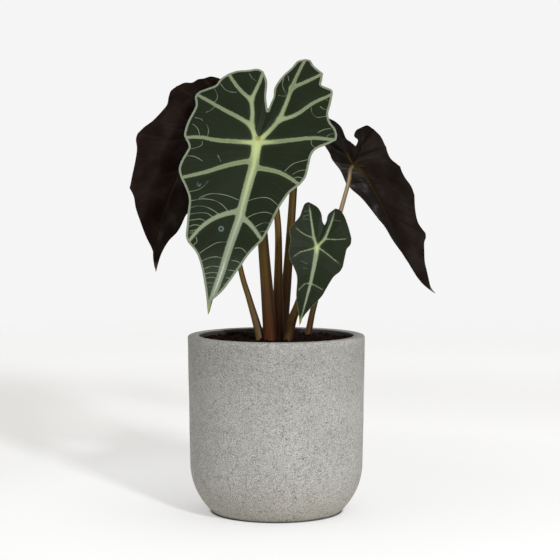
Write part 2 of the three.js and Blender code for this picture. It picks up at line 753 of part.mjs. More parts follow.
// A mesh of one piece, with its own material
function piece(name, geometry, color, roughness) {
  const material = new THREE.MeshStandardMaterial({ color, roughness, metalness: 0 });
  const mesh = new THREE.Mesh(geometry, material);
  mesh.name = name;
  return mesh;
}

const routes = LEAVES.map(stalkRoute);
const plant = new THREE.Group();
plant.add(piece("corm", cormGeometry(0), 0x5a4230, 0.9));
LEAVES.forEach((leaf, i) => {
  const { points, radii } = routes[i];
  plant.add(piece(`petiole_${leaf.name}`, stalkGeometry(points, radii), leaf.stalk, 0.45));
  plant.add(piece(`blade_${leaf.name}`, bladeGeometry(leaf), leaf.green, 0.4));
});

const pottedPlant = new THREE.Group();
pottedPlant.add(piece("pot", potGeometry(), 0xa5a39d, 0.85));
pottedPlant.add(piece("soil", soilGeometry(routes), 0x1c1110, 0.95));
pottedPlant.add(plant);

export default pottedPlant;
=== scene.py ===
# %% [markdown]
# Dressing a potted alocasia
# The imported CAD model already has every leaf, stalk and the pot at its real size. This lesson
# puts finer pieces in their places, with the waved blades, raised ribs and cast concrete that the
# eye looks for, and gives each one a material that is worked out by nodes.

# %% Load the frame
import json
import math
from collections import namedtuple

import bpy
import numpy as np
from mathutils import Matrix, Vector, noise

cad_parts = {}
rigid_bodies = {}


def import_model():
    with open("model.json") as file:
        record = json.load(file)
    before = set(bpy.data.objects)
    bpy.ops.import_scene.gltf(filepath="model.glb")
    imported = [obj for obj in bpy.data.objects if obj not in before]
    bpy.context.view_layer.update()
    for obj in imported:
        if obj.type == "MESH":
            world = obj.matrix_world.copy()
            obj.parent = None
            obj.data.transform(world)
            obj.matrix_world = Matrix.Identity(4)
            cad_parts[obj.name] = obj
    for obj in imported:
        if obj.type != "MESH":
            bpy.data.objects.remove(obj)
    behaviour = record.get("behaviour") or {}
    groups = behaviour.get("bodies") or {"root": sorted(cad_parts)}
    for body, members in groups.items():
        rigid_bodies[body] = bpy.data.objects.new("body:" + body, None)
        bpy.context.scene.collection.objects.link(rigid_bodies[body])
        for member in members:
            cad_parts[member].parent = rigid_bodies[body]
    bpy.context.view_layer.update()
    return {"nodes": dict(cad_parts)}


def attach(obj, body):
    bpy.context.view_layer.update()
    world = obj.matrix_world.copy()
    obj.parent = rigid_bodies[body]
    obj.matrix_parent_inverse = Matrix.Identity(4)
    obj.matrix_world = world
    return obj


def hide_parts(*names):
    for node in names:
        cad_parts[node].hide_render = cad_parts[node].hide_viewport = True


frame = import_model()
MM = 0.001
TINY = 1e-9
BODY = "root"

# %% [markdown]
# The camera stands low and far away, as a product photographer's would, so that the pot's sides
# stay nearly upright. Its height, distance and tilt were worked out from the pot's rim and base,
# which are two circles of known size.

# %% Camera
SENSOR_WIDTH = 36
CAMERA_LENS = 106.7
CAMERA_PLACE = (3.65, -1682.3, 340.1)
CAMERA_TILT = 0.062


def add_camera():
    """A level camera that looks along +Y and a little down."""
    bpy.ops.object.camera_add(
        location=[value * MM for value in CAMERA_PLACE],
        rotation=(math.pi / 2 - CAMERA_TILT, 0, 0),
    )
    camera = bpy.context.object
    camera.data.sensor_width = SENSOR_WIDTH
    camera.data.lens = CAMERA_LENS
    bpy.context.scene.camera = camera
    return camera


camera = add_camera()
print("camera in metres:", [round(value, 3) for value in camera.location])

# %% [markdown]
# Studio light. A low round lamp on the right throws the long shadow to the left. Its light fades
# more slowly with distance than a bare lamp's, so that the shadow stays clear far off. A panel on
# the right brightens that side of the pot, one overhead lights the floor, and the world fills the
# shadows. The world shows brighter to the camera than it shines, so the floor can fade into it
# with no horizon.

# %% Lights and world
Lamp = namedtuple("Lamp", "place shape size watts")
KEY = Lamp((0.471, -1.065, 0.80), "DISK", 0.15, 8.2)
SIDE_PANEL = Lamp((2.1, -1.0, 1.3), "SQUARE", 2.0, 4.2)
OVERHEAD = Lamp((0.3, 0.6, 2.6), "SQUARE", 2.2, 14.2)
KEY_TINT = (0.99, 1.0, 1.03)
LIT_MIDDLE = (0, 0, 0.2)
BACKDROP = (0.915, 0.915, 0.915, 1)
WORLD_SHINE = (0.487, 0.480, 0.460, 1)


def add_lamp(lamp):
    """A lamp that faces the middle of the plant, and that the camera doesn't see."""
    bpy.ops.object.light_add(type="AREA", location=lamp.place)
    light = bpy.context.object
    aim = Vector(lamp.place) - Vector(LIT_MIDDLE)
    light.rotation_euler = aim.to_track_quat("Z", "Y").to_euler()
    light.data.shape = lamp.shape
    light.data.size = lamp.size
    light.data.energy = lamp.watts
    light.visible_camera = False
    return light.data


def fade_slowly(light):
    """Makes a lamp's light fall off with distance, and not with its square."""
    light.use_nodes = True
    tree = light.node_tree
    falloff = tree.nodes.new("ShaderNodeLightFalloff")
    falloff.inputs["Strength"].default_value = 1.0
    tree.links.new(falloff.outputs["Linear"], tree.nodes["Emission"].inputs["Strength"])


def add_world():
    """A plain world that lights the scene softly and shows as the backdrop."""
    world = bpy.data.worlds.new("studio")
    bpy.context.scene.world = world
    world.use_nodes = True
    tree = world.node_tree
    tree.nodes.clear()
    path = tree.nodes.new("ShaderNodeLightPath")
    choice = tree.nodes.new("ShaderNodeMixShader")
    out = tree.nodes.new("ShaderNodeOutputWorld")
    tree.links.new(path.outputs["Is Camera Ray"], choice.inputs["Fac"])
    for socket, tone in ((choice.inputs[1], WORLD_SHINE), (choice.inputs[2], BACKDROP)):
        background = tree.nodes.new("ShaderNodeBackground")
        background.inputs["Color"].default_value = tone
        tree.links.new(background.outputs["Background"], socket)
    tree.links.new(choice.outputs["Shader"], out.inputs["Surface"])


add_world()
key = add_lamp(KEY)
key.color = KEY_TINT
fade_slowly(key)
for panel in (SIDE_PANEL, OVERHEAD):
    add_lamp(panel)
bpy.context.scene.view_settings.view_transform = "Standard"
print("lights:", sum(1 for item in bpy.context.scene.objects if item.type == "LIGHT"))

# %% [markdown]
# Small tools for materials. A node tree is easier to read when a node is made, set and wired in
# one call, and when sums read like sums. The helpers for values and colours each give back the
# socket that the next one takes in.

# %% Node helpers
def fill_socket(tree, socket, value):
    """Wires a socket to another one, or sets it to a number or colour."""
    if isinstance(value, bpy.types.NodeSocket):
        tree.links.new(value, socket)
    else:
        socket.default_value = value


def add_node(tree, kind, settings=None, **inputs):
    """A node with its settings and inputs filled in. An underscore stands for a space."""
    made = tree.nodes.new(kind)
    for key, value in (settings or {}).items():
        setattr(made, key, value)
    for key, value in inputs.items():
        fill_socket(tree, made.inputs[key.replace("_", " ")], value)
    return made


def calc(tree, operation, *values, clamp=False):
    """The result of a Math node."""
    made = add_node(tree, "ShaderNodeMath", {"operation": operation, "use_clamp": clamp})
    for socket, value in zip(made.inputs, values):
        fill_socket(tree, socket, value)
    return made.outputs[0]


def times(tree, first, *others):
    """Several values multiplied together."""
    for value in others:
        first = calc(tree, "MULTIPLY", first, value)
    return first


def times_add(tree, value, factor, extra):
    """A value times a factor, plus something extra."""
    return calc(tree, "MULTIPLY_ADD", value, factor, extra)


def ease(tree, value, low, high, to_low=0.0, to_high=1.0):
    """A value's share of the way from low to high, eased at both ends."""
    made = add_node(tree, "ShaderNodeMapRange", {"interpolation_type": "SMOOTHSTEP"})
    for socket, item in zip(made.inputs, (value, low, high, to_low, to_high)):
        fill_socket(tree, socket, item)
    return made.outputs["Result"]


def mix(tree, factor, first, second, blend="MIX"):
    """A blend of two colours."""
    made = add_node(tree, "ShaderNodeMix", {"data_type": "RGBA", "blend_type": blend})
    for index, value in ((0, factor), (6, first), (7, second)):
        fill_socket(tree, made.inputs[index], value)
    return made.outputs[2]


def grain(tree, vector, scale, detail=2.0, roughness=0.5):
    """Smooth noise from 0 to 1, at a scale in waves per metre."""
    made = add_node(
        tree,
        "ShaderNodeTexNoise",
        {"noise_dimensions": "3D"},
        Vector=vector,
        Scale=scale,
        Detail=detail,
        Roughness=roughness,
    )
    return made.outputs["Fac"]


def scaled(tree, vector, scale):
    """A vector with each axis stretched by its own amount."""
    made = add_node(tree, "ShaderNodeMapping", Vector=vector, Scale=scale)
    return made.outputs["Vector"]


def axis_of(tree, vector, axis):
    """One axis of a vector."""
    return add_node(tree, "ShaderNodeSeparateXYZ", Vector=vector).outputs[axis]


def length_of(tree, vector):
    """The length of a vector."""
    made = add_node(tree, "ShaderNodeVectorMath", {"operation": "LENGTH"}, Vector=vector)
    return made.outputs["Value"]


def object_place(tree):
    """Object coordinates, which are the part's own metres."""
    return tree.nodes.new("ShaderNodeTexCoord").outputs["Object"]


def attribute(tree, name, output="Fac"):
    """A value that the mesh holds at each corner."""
    return add_node(tree, "ShaderNodeAttribute", {"attribute_name": name}).outputs[output]


SOCKET_KINDS = {
    "number": "NodeSocketFloat",
    "colour": "NodeSocketColor",
    "vector": "NodeSocketVector",
}


def new_group(name, inputs, outputs):
    """An empty shader group with named sockets, and its inner input and output nodes."""
    group = bpy.data.node_groups.new(name, "ShaderNodeTree")
    for way, sockets in (("INPUT", inputs), ("OUTPUT", outputs)):
        for label, kind in sockets:
            group.interface.new_socket(name=label, in_out=way, socket_type=SOCKET_KINDS[kind])
    return group, group.nodes.new("NodeGroupInput"), group.nodes.new("NodeGroupOutput")


def use_group(tree, group, **inputs):
    """A group placed in a tree with its inputs filled in."""
    return add_node(tree, "ShaderNodeGroup", {"node_tree": group}, **inputs)


def new_material(name):
    """A material with a Principled shader, and its tree and shader."""
    material = bpy.data.materials.new(name)
    material.use_nodes = True
    return material, material.node_tree, material.node_tree.nodes["Principled BSDF"]


def fill_shader(tree, shader, **inputs):
    """Wires a shader's sockets. An underscore stands for a space."""
    for label, value in inputs.items():
        fill_socket(tree, shader.inputs[label.replace("_", " ")], value)


def bump(tree, height, distance, strength):
    """A normal tilted by a height, for relief too fine for the mesh."""
    made = add_node(tree, "ShaderNodeBump", Height=height, Distance=distance, Strength=strength)
    return made.outputs["Normal"]


# %% [markdown]
# Small tools for meshes. A leaf sector and a stalk are each a grid primitive whose corners are
# moved to where the real surface is: flat paper bent to shape, with rows and columns that follow
# the growth. Edge loops then run along veins and fibres, as a modeller would draw them.

# %% Mesh helpers
SMOOTH_ANGLE = 50


def select_only(obj):
    """Leaves one object selected and active."""
    bpy.ops.object.select_all(action="DESELECT")
    obj.select_set(True)
    bpy.context.view_layer.objects.active = obj


def edit_all(obj, *steps):
    """Runs edit mode operators on all of an object's mesh."""
    select_only(obj)
    bpy.ops.object.mode_set(mode="EDIT")
    bpy.ops.mesh.select_mode(type="VERT")
    bpy.ops.mesh.select_all(action="SELECT")
    for operator, settings in steps:
        operator(**settings)
    bpy.ops.object.mode_set(mode="OBJECT")


def mesh_places(obj):
    """The places of a mesh's vertices, in millimetres."""
    places = np.empty(len(obj.data.vertices) * 3, np.float32)
    obj.data.vertices.foreach_get("co", places)
    return places.reshape(-1, 3).astype(float) / MM


def move_to(obj, places):
    """Moves a mesh's vertices to places in millimetres."""
    obj.data.vertices.foreach_set("co", (places * MM).astype(np.float32).ravel())
    obj.data.update()


def bent_grid(name, places, fields):
    """A grid primitive bent so that its corners lie at rows x columns of places."""
    rows, columns = places.shape[:2]
    bpy.ops.object.select_all(action="DESELECT")
    bpy.ops.mesh.primitive_grid_add(x_subdivisions=columns - 1, y_subdivisions=rows - 1)
    obj = bpy.context.object
    obj.name = name
    move_to(obj, places.reshape(-1, 3))
    for label, values in fields.items():
        is_vector = values.ndim == places.ndim
        kind, member = ("FLOAT_VECTOR", "vector") if is_vector else ("FLOAT", "value")
        held = obj.data.attributes.new(label, kind, "POINT")
        held.data.foreach_set(member, values.astype(np.float32).ravel())
    return obj


def join(name, parts):
    """Several objects made one, under a new name."""
    bpy.ops.object.select_all(action="DESELECT")
    for part in parts:
        part.select_set(True)
    bpy.context.view_layer.objects.active = parts[0]
    bpy.ops.object.join()
    parts[0].name = name
    parts[0].data.name = name
    return parts[0]


def apply_modifier(obj, name, kind, **settings):
    """Adds a modifier, sets it and applies it."""
    select_only(obj)
    modifier = obj.modifiers.new(name, kind)
    for key, value in settings.items():
        setattr(modifier, key, value)
    bpy.ops.object.modifier_apply(modifier=modifier.name)


def finish_piece(obj, slot, *replaced):
    """Smooth shading, the body that the piece rides on, and what it stands for."""
    select_only(obj)
    bpy.ops.object.shade_smooth_by_angle(angle=math.radians(SMOOTH_ANGLE))
    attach(obj, BODY)
    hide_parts(*replaced)
    triangles = sum(len(face.vertices) - 2 for face in obj.data.polygons)
    print(f"{obj.name}: {triangles} triangles")


# %% [markdown]
# Smooth lines. The same soft curve runs through a leaf's margin, its veins and its stalk, so the
# helper takes listed points and gives any number of places along the line at even steps.
# `even` spaces the knots by their distance, which suits the long bends of a stalk.

# %% Smooth lines through points
DENSE_STEPS = 60


def smooth_line(points, even=False):
    """Many places along a smooth line that passes through the points."""
    knots = np.asarray(points, float)
    if even:
        before, after = 2 * knots[0] - knots[1], 2 * knots[-1] - knots[-2]
    else:
        before, after = knots[0], knots[-1]
    knots = np.vstack([before, knots, after])
    share = np.linspace(0, 1, DENSE_STEPS, endpoint=False)[:, None]
    pieces = []
    for p0, p1, p2, p3 in zip(knots, knots[1:], knots[2:], knots[3:]):
        if even:
            gap0, gap1, gap2 = (
                math.sqrt(math.dist(a, b)) for a, b in ((p0, p1), (p1, p2), (p2, p3))
            )
            lean1 = gap1 * ((p1 - p0) / gap0 - (p2 - p0) / (gap0 + gap1) + (p2 - p1) / gap1)
            lean2 = gap1 * ((p2 - p1) / gap1 - (p3 - p1) / (gap1 + gap2) + (p3 - p2) / gap2)
        else:
            lean1, lean2 = (p2 - p0) / 2, (p3 - p1) / 2
        cube, square = share**3, share**2
        pieces.append(
            (2 * cube - 3 * square + 1) * p1
            + (cube - 2 * square + share) * lean1
            + (3 * square - 2 * cube) * p2
            + (cube - square) * lean2
        )
    pieces.append(knots[-2][None])
    return np.vstack(pieces)


def lengths_of(line):
    """Length of a line up to each of its points."""
    return np.concatenate([[0], np.cumsum(np.linalg.norm(np.diff(line, axis=0), axis=1))])


def along(line, shares):
    """Places at given shares of a line's length."""
    lengths = lengths_of(line)
    return np.stack([np.interp(shares * lengths[-1], lengths, axis) for axis in line.T], axis=-1)


def even_steps(points, count):
    """A smooth line cut into equal steps."""
    return along(smooth_line(points), np.linspace(0, 1, count + 1))


# %% [markdown]
# The shape of each kind of leaf, drawn flat, in millimetres from the point where the stalk meets
# the blade: x across it and y towards its lobes. Each side lists its veins from the notch between
# the lobes round to the tip. A vein holds the margin that comes before its end, the stretches that
# it is made of, the stretch of the midrib that it leaves, and its width beside a full vein's.

# %% Leaf outlines
Vein = namedtuple("Vein", "margin legs station weight", defaults=[0, 1])
Stretch = namedtuple("Stretch", "cells through")


def front_outline():
    """The large grown leaf that faces the camera."""
    left_stem = [(0, 0), (-6, 18)]
    left_neck = [(-6, 18), (-5.2, 31), (-7, 46)]
    right_stem = [(0, 0), (13, 13), (22, 24)]
    right_neck = [(22, 24), (29, 44), (33, 58)]
    return {
        "notch": (10, 34),
        "midrib": [
            Stretch(4, [(-2, -18)]),
            Stretch(1, [(-3, -25)]),
            Stretch(4, [(-8, -44), (-14, -68)]),
            Stretch(1, [(-15, -74)]),
            Stretch(7, [(-23, -97), (-29, -116), (-35, -135), (-42, -152), (-46, -168)]),
        ],
        "left": [
            Vein(
                [(8, 48), (8, 66)],
                [left_stem, left_neck, [(-7, 46), (-3, 56), (1, 67), (4, 78)]],
            ),
            Vein(
                [(-2, 81), (-12, 79), (-23, 78)],
                [left_stem, left_neck, [(-7, 46), (-14, 52), (-22, 61), (-31, 75)]],
            ),
            Vein(
                [(-38, 69), (-43, 61), (-52, 57), (-59, 54)],
                [left_stem, [(-6, 18), (-18, 26), (-33, 34), (-48, 43), (-62, 51)]],
            ),
            Vein(
                [(-63, 47), (-62, 37), (-69, 20), (-72, 8)],
                [[(0, 0), (-22, 1), (-41, 2), (-56, 5), (-71, 4)]],
            ),
            Vein(
                [(-67, -5), (-69, -11), (-74, -21), (-76, -29)],
                [[(-2, -18), (-21, -21.5), (-36, -26), (-50, -31), (-74, -37)]],
                1,
            ),
            Vein(
                [(-69, -47), (-65.3, -58), (-66, -70), (-67.3, -85), (-68, -94)],
                [[(-14, -68), (-30, -72), (-42, -77), (-54, -86), (-66, -100)]],
                3,
            ),
        ],
        "left_tip": [(-57, -111), (-52, -126), (-49, -142), (-47.4, -155), (-46.9, -162)],
        "right": [
            Vein(
                [(12, 41), (15, 49), (16, 59), (23, 71), (32, 81), (38, 89)],
                [right_stem, right_neck, [(33, 58), (38, 72), (46, 91)]],
            ),
            Vein(
                [(51, 89), (55, 82)],
                [right_stem, right_neck, [(33, 58), (44, 63), (54, 68), (64, 74)]],
            ),
            Vein(
                [(63, 66), (63, 60), (73, 55)],
                [right_stem, [(22, 24), (32, 26), (42, 31), (55, 41), (74, 50)]],
            ),
            Vein(
                [(72, 38), (70, 29), (72, 20), (77, 13), (79, 6)],
                [[(0, 0), (18, 0.6), (38, 2.4), (57, 3.7), (78, 1)]],
            ),
            Vein(
                [(70, -3), (59, -8), (54, -15), (52, -24), (49, -36)],
                [[(-3, -25), (11, -27.6), (23, -31), (33, -36.5), (43, -44)]],
                2,
            ),
            Vein(
                [(34, -51), (28, -59), (21, -71), (14, -86)],
                [[(-15, -74), (-5, -82), (7, -98)]],
                4,
            ),
        ],
        "right_tip": [
            (-5, -110),
            (-15, -124),
            (-24, -136),
            (-33, -147),
            (-44.2, -156.5),
            (-45.4, -162),
        ],
    }


def left_outline():
    """The grown leaf on the left, seen from below."""
    near_stem = [(0, 0), (8, 16)]
    near_neck = [(8, 16), (14, 35)]
    far_stem = [(0, 0), (-6, 17)]
    far_neck = [(-6, 17), (-8, 38)]
    return {
        "notch": (3, 28),
        "midrib": [
            Stretch(4, [(3, -20)]),
            Stretch(4, [(10, -60)]),
            Stretch(7, [(14, -97), (16, -120), (16, -146), (9, -166)]),
        ],
        "left": [
            Vein([(0, 42), (-2, 54)], [far_stem, far_neck, [(-8, 38), (-8, 60)]]),
            Vein([(-16, 62)], [far_stem, far_neck, [(-8, 38), (-18, 50), (-27, 57)]]),
            Vein([(-39, 53)], [far_stem, [(-6, 17), (-30, 30), (-52, 43)]]),
            Vein([(-56, 34), (-57, 20)], [[(0, 0), (-30, 2), (-61, 5)]]),
            Vein([(-62, -8), (-63, -22)], [[(3, -20), (-28, -27), (-60, -37)]], 1),
            Vein([(-56, -54), (-51, -72)], [[(10, -60), (-20, -72), (-44, -88)]], 2),
        ],
        "left_tip": [(-35, -100), (-24, -110), (-20, -121), (-15, -129), (-4, -137), (5, -150)],
        "right": [
            Vein([(7, 40), (11, 49)], [near_stem, near_neck, [(14, 35), (20, 53)]]),
            Vein([(30, 53)], [near_stem, near_neck, [(14, 35), (26, 43), (39, 50)]]),
            Vein(
                [(45, 48), (49, 43), (59, 42)],
                [near_stem, [(8, 16), (25, 22), (45, 30), (67, 37)]],
            ),
            Vein([(70, 31), (68, 24), (65, 15)], [[(0, 0), (30, 1), (50, 4), (67, 8)]]),
            Vein([(72, -6), (80, -14)], [[(3, -20), (30, -24), (60, -24), (85, -21)]], 1),
            Vein(
                [(84, -28), (77, -39), (73, -53), (71, -71)],
                [[(10, -60), (35, -66), (55, -74), (70, -81)]],
                2,
            ),
        ],
        "right_tip": [(61, -90), (54, -102), (43, -116), (31, -131), (19, -144), (12, -157)],
    }


def right_outline():
    """The grown leaf on the right, seen from below."""
    near_stem = [(0, 0), (-15, 12)]
    near_neck = [(-15, 12), (-25, 26)]
    far_stem = [(0, 0), (2, 15)]
    far_neck = [(2, 15), (5, 32)]
    return {
        "notch": (-15, 24),
        "midrib": [
            Stretch(4, [(-8, -8), (-13, -20)]),
            Stretch(4, [(-14, -45), (-16, -62)]),
            Stretch(7, [(-20, -98), (-29, -116), (-43, -134), (-64, -143)]),
        ],
        "left": [
            Vein(
                [(-20, 30), (-17, 35), (-22, 41)],
                [near_stem, near_neck, [(-25, 26), (-30, 44)]],
            ),
            Vein([(-37, 45)], [near_stem, near_neck, [(-25, 26), (-36, 33), (-45, 41)]]),
            Vein([(-50, 33)], [near_stem, [(-15, 12), (-32, 17), (-53, 21)]]),
            Vein([(-51, 6)], [[(0, 0), (-25, 0), (-59, -4)]]),
            Vein([(-58, -17), (-60, -31)], [[(-13, -20), (-35, -27), (-59, -41)]], 1),
            Vein([(-52, -59), (-50, -74)], [[(-16, -62), (-35, -72), (-55, -87)]], 2),
        ],
        "left_tip": [(-54, -92), (-50, -99), (-48, -114), (-50, -125), (-55, -137)],
        "right": [
            Vein(
                [(-10, 29), (-5, 33), (-3, 44), (2, 49)],
                [far_stem, far_neck, [(5, 32), (8, 51)]],
            ),
            Vein([(18, 51)], [far_stem, far_neck, [(5, 32), (17, 40), (27, 47)]]),
            Vein([(36, 40)], [far_stem, [(2, 15), (22, 21), (42, 28)]]),
            Vein([(42, 15), (40, 6)], [[(0, 0), (22, -1), (43, -4)]]),
            Vein([(46, -11), (50, -27)], [[(-13, -20), (20, -31), (57, -45)]], 1),
            Vein([(53, -54), (41, -60), (26, -71)], [[(-16, -62), (0, -69), (13, -79)]], 2),
        ],
        "right_tip": [(2, -85), (-5, -96), (-17, -106), (-30, -118), (-40, -129), (-52, -138)],
    }


THIN = 0.5


def young_outline():
    """A young leaf, with thin side veins."""
    left_stem = [(0, 0), (-3, 9)]
    right_stem = [(0, 0), (8, 8)]
    return {
        "notch": (8, 22),
        "midrib": [
            Stretch(5, [(-2, -13), (-7, -36)]),
            Stretch(5, [(-11.3, -52), (-15.2, -66), (-18, -77)]),
        ],
        "left": [
            Vein([(6, 26), (5, 34), (1, 41)], [left_stem, [(-3, 9), (-5, 27), (-7, 46)]]),
            Vein(
                [(-11, 44), (-14, 37), (-17, 30)],
                [left_stem, [(-3, 9), (-13, 13), (-24, 22)]],
                weight=THIN,
            ),
            Vein(
                [(-27, 17), (-26, 7), (-28, -4)],
                [[(0, 0), (-9, -3.2), (-17, -5.6), (-27, -13)]],
                weight=THIN,
            ),
            Vein([(-23, -21), (-20, -31)], [[(-7, -36), (-13, -37), (-21, -45)]], 1, THIN),
        ],
        "left_tip": [(-21, -52), (-19, -63)],
        "right": [
            Vein([(10, 26), (12, 33)], [right_stem, [(8, 8), (15, 25), (19, 39)]]),
            Vein(
                [(24, 37), (28, 30), (32, 17)],
                [right_stem, [(8, 8), (20, 7), (34, 8)]],
                weight=THIN,
            ),
            Vein(
                [(33, 2), (29, -3), (27, -11)],
                [[(0, 0), (8, -5.6), (15, -11.6), (25, -20)]],
                weight=THIN,
            ),
            Vein([(22, -25), (15, -31)], [[(-7, -36), (-1, -39), (7, -44)]], 1, THIN),
        ],
        "right_tip": [(3, -50), (-8, -61), (-15, -70)],
    }


OUTLINES = {
    "front": front_outline(),
    "left": left_outline(),
    "right": right_outline(),
    "young": young_outline(),
}
for label, outline in OUTLINES.items():
    print(f"{label} outline: {len(outline['left'])} and {len(outline['right'])} veins")

# %% [markdown]
# One leaf of the plant: where its stalk meets the blade, how the blade faces and bends, how wide
# its ribs are, and the stalk's route from the corm. Places and bends are those of the CAD model, so
# each fine piece lies where its solid is, while the ribs are drawn a little finer. `fineness` is
# how many cells stand for one of the solid's.

# %% The plant's leaves
Leaf = namedtuple(
    "Leaf",
    "name outline junction turn pitch roll fold_left fold_right arch_tip arch_lobes"
    " rib_width vein_width quilt wave fineness root route radii",
)


def rear_leaf(name, **placed):
    """One of the two young leaves behind the front one, which are alike."""
    return Leaf(
        name,
        OUTLINES["young"],
        roll=0,
        fold_left=(7, 7),
        fold_right=(7, 7),
        arch_tip=0.0018,
        arch_lobes=0.0015,
        rib_width=(2.4, 0.6),
        vein_width=(1.7, 0.4),
        quilt=0.7,
        wave=0.8,
        fineness=5,
        **placed,
    )


LEAVES = [
    Leaf(
        "front",
        OUTLINES["front"],
        junction=(-19, -40, 373.5),
        turn=184,
        pitch=18,
        roll=0,
        fold_left=(4, 4),
        fold_right=(4, 4),
        arch_tip=0.001,
        arch_lobes=0.0012,
        rib_width=(5.0, 3.3),
        vein_width=(2.7, 1.6),
        quilt=1.2,
        wave=1.4,
        fineness=8,
        root=(-6, -10),
        route=[(-6, -10, 176), (-8.5, -13, 215), (-12.6, -19, 267), (-17, -26, 330)],
        radii=(6.2, 3.8),
    ),
    Leaf(
        "small",
        OUTLINES["young"],
        junction=(40, -50, 271.3),
        turn=176,
        pitch=14,
        roll=0,
        fold_left=(5, 5),
        fold_right=(5, 5),
        arch_tip=0.0015,
        arch_lobes=0.0015,
        rib_width=(2.6, 0.55),
        vein_width=(1.55, 0.65),
        quilt=0.7,
        wave=0.8,
        fineness=7,
        root=(10.5, -9),
        route=[(11.5, -11, 176), (16.4, -16, 198), (21, -21, 210), (31.5, -33, 243)],
        radii=(4.3, 2.3),
    ),
    Leaf(
        "left",
        OUTLINES["left"],
        junction=(-70.1, 25, 397.3),
        turn=-50,
        pitch=36,
        roll=0,
        fold_left=(4, 4),
        fold_right=(4, 4),
        arch_tip=0.0014,
        arch_lobes=0.0012,
        rib_width=(4.4, 1.0),
        vein_width=(2.5, 1.4),
        quilt=1.4,
        wave=1,
        fineness=6,
        root=(-16.5, -6),
        route=[(-16.6, -5, 176), (-27.2, 1, 215), (-35, 7, 240), (-52, 15, 325)],
        radii=(3.1, 1.5),
    ),
    Leaf(
        "right",
        OUTLINES["right"],
        junction=(80.7, 50, 352.5),
        turn=60,
        pitch=42,
        roll=10,
        fold_left=(14, 24),
        fold_right=(5, 26),
        arch_tip=0.0016,
        arch_lobes=-0.004,
        rib_width=(4.0, 0.9),
        vein_width=(2.3, 1.3),
        quilt=1.4,
        wave=0.8,
        fineness=6,
        root=(20, 12),
        route=[
            (30.5, 31, 170),
            (37.6, 34, 201),
            (52, 39, 253),
            (67.3, 44, 307),
            (75.2, 46.5, 336),
        ],
        radii=(2.9, 2),
    ),
    rear_leaf(
        "mid",
        junction=(-26, 30, 384),
        turn=-35,
        pitch=50,
        root=(1.8, -2.5),
        route=[(1.8, -2.5, 176), (1.9, 1, 228), (0.8, 9, 300), (-10, 17, 350)],
        radii=(3.8, 2.6),
    ),
    rear_leaf(
        "back",
        junction=(20, 60, 404),
        turn=-25,
        pitch=66,
        root=(6.5, 5.5),
        route=[(6.5, 5.5, 176), (7.4, 8, 197), (10.6, 17, 233), (17, 34, 320)],
        radii=(4.6, 3.3),
    ),
]
print("leaves:", [leaf.name for leaf in LEAVES])

# %% [markdown]
# How a flat leaf is laid out as grids. Between two neighbouring veins lies a sector, and its rows
# run from the midrib to the margin while its lanes run across. `reach` and `lane` are a point's
# place in that grid, from 0 to 1, and they also say where the blade bulges and waves.

# %% Sectors between the veins
BASE_ROWS = 8
FAN_LANES = 4
TIP_HALF_WIDTH = 0.45
TIP_TAPER = 7.0
RELAX_STEPS = 1600
RELAX_PLAIN_STEPS = 400


def midrib_points(outline, fineness):
    """The midrib from the junction to the tip, and the point at which each stretch ends."""
    points, stations = [np.zeros((1, 2))], [0]
    for cells, through in outline["midrib"]:
        line = even_steps([tuple(points[-1][-1]), *through], cells * fineness)[1:]
        points.append(line)
        stations.append(stations[-1] + len(line))
    return np.vstack(points), stations


def vein_points(legs, rows):
    """A vein's points. A stretch that it shares with a neighbour takes a quarter of the rows."""
    shared, quarter = legs[:-1], rows // 4
    points = [even_steps(leg, quarter)[:-1] for leg in shared]
    points.append(even_steps(legs[-1], rows - len(shared) * quarter))
    return np.vstack(points)


def keep_clear(edge, midrib, lean):
    """A margin kept a little to its own side of the midrib, so that a thin tip never folds."""
    along_rib = np.gradient(midrib, axis=0)
    along_rib /= np.maximum(np.linalg.norm(along_rib, axis=1), TINY)[:, None]
    outward = np.stack([-along_rib[:, 1], along_rib[:, 0]], axis=-1) * lean
    to_tip = np.linalg.norm(midrib - midrib[-1], axis=1)
    wanted = TIP_HALF_WIDTH * np.minimum(to_tip / TIP_TAPER, 1)
    missing = np.maximum(wanted - ((edge - midrib) * outward).sum(1), 0)
    return edge + missing[:, None] * outward


def relax(grid, first_row):
    """Evens out the inside of a grid past a row, so that no cell folds. Its sides stay put."""
    part = grid[first_row:]
    for step in range(RELAX_STEPS):
        above, below = part[2:, 1:-1], part[:-2, 1:-1]
        right, left = part[1:-1, 2:], part[1:-1, :-2]
        if step < RELAX_PLAIN_STEPS:
            part[1:-1, 1:-1] = (above + below + right + left) / 4
            continue
        by_row, by_lane = (above - below) / 2, (right - left) / 2
        cross = (part[2:, 2:] - part[:-2, 2:] - part[2:, :-2] + part[:-2, :-2]) / 4
        rows_weight = (by_lane**2).sum(-1, keepdims=True)
        lanes_weight = (by_row**2).sum(-1, keepdims=True)
        skew = (by_row * by_lane).sum(-1, keepdims=True)
        whole = lanes_weight * (right + left) + rows_weight * (above + below) - 2 * skew * cross
        part[1:-1, 1:-1] = whole / np.maximum(2 * (lanes_weight + rows_weight), TINY)
    return grid


def reach_of(points, parting):
    """Each row's place from 0, where a vein parts from its neighbour, to 1 at the margin."""
    lengths = lengths_of(points)
    span = lengths[-1] - lengths[parting]
    if span <= 0:
        return np.linspace(0, 1, len(points))
    return np.maximum((lengths - lengths[parting]) / span, 0)


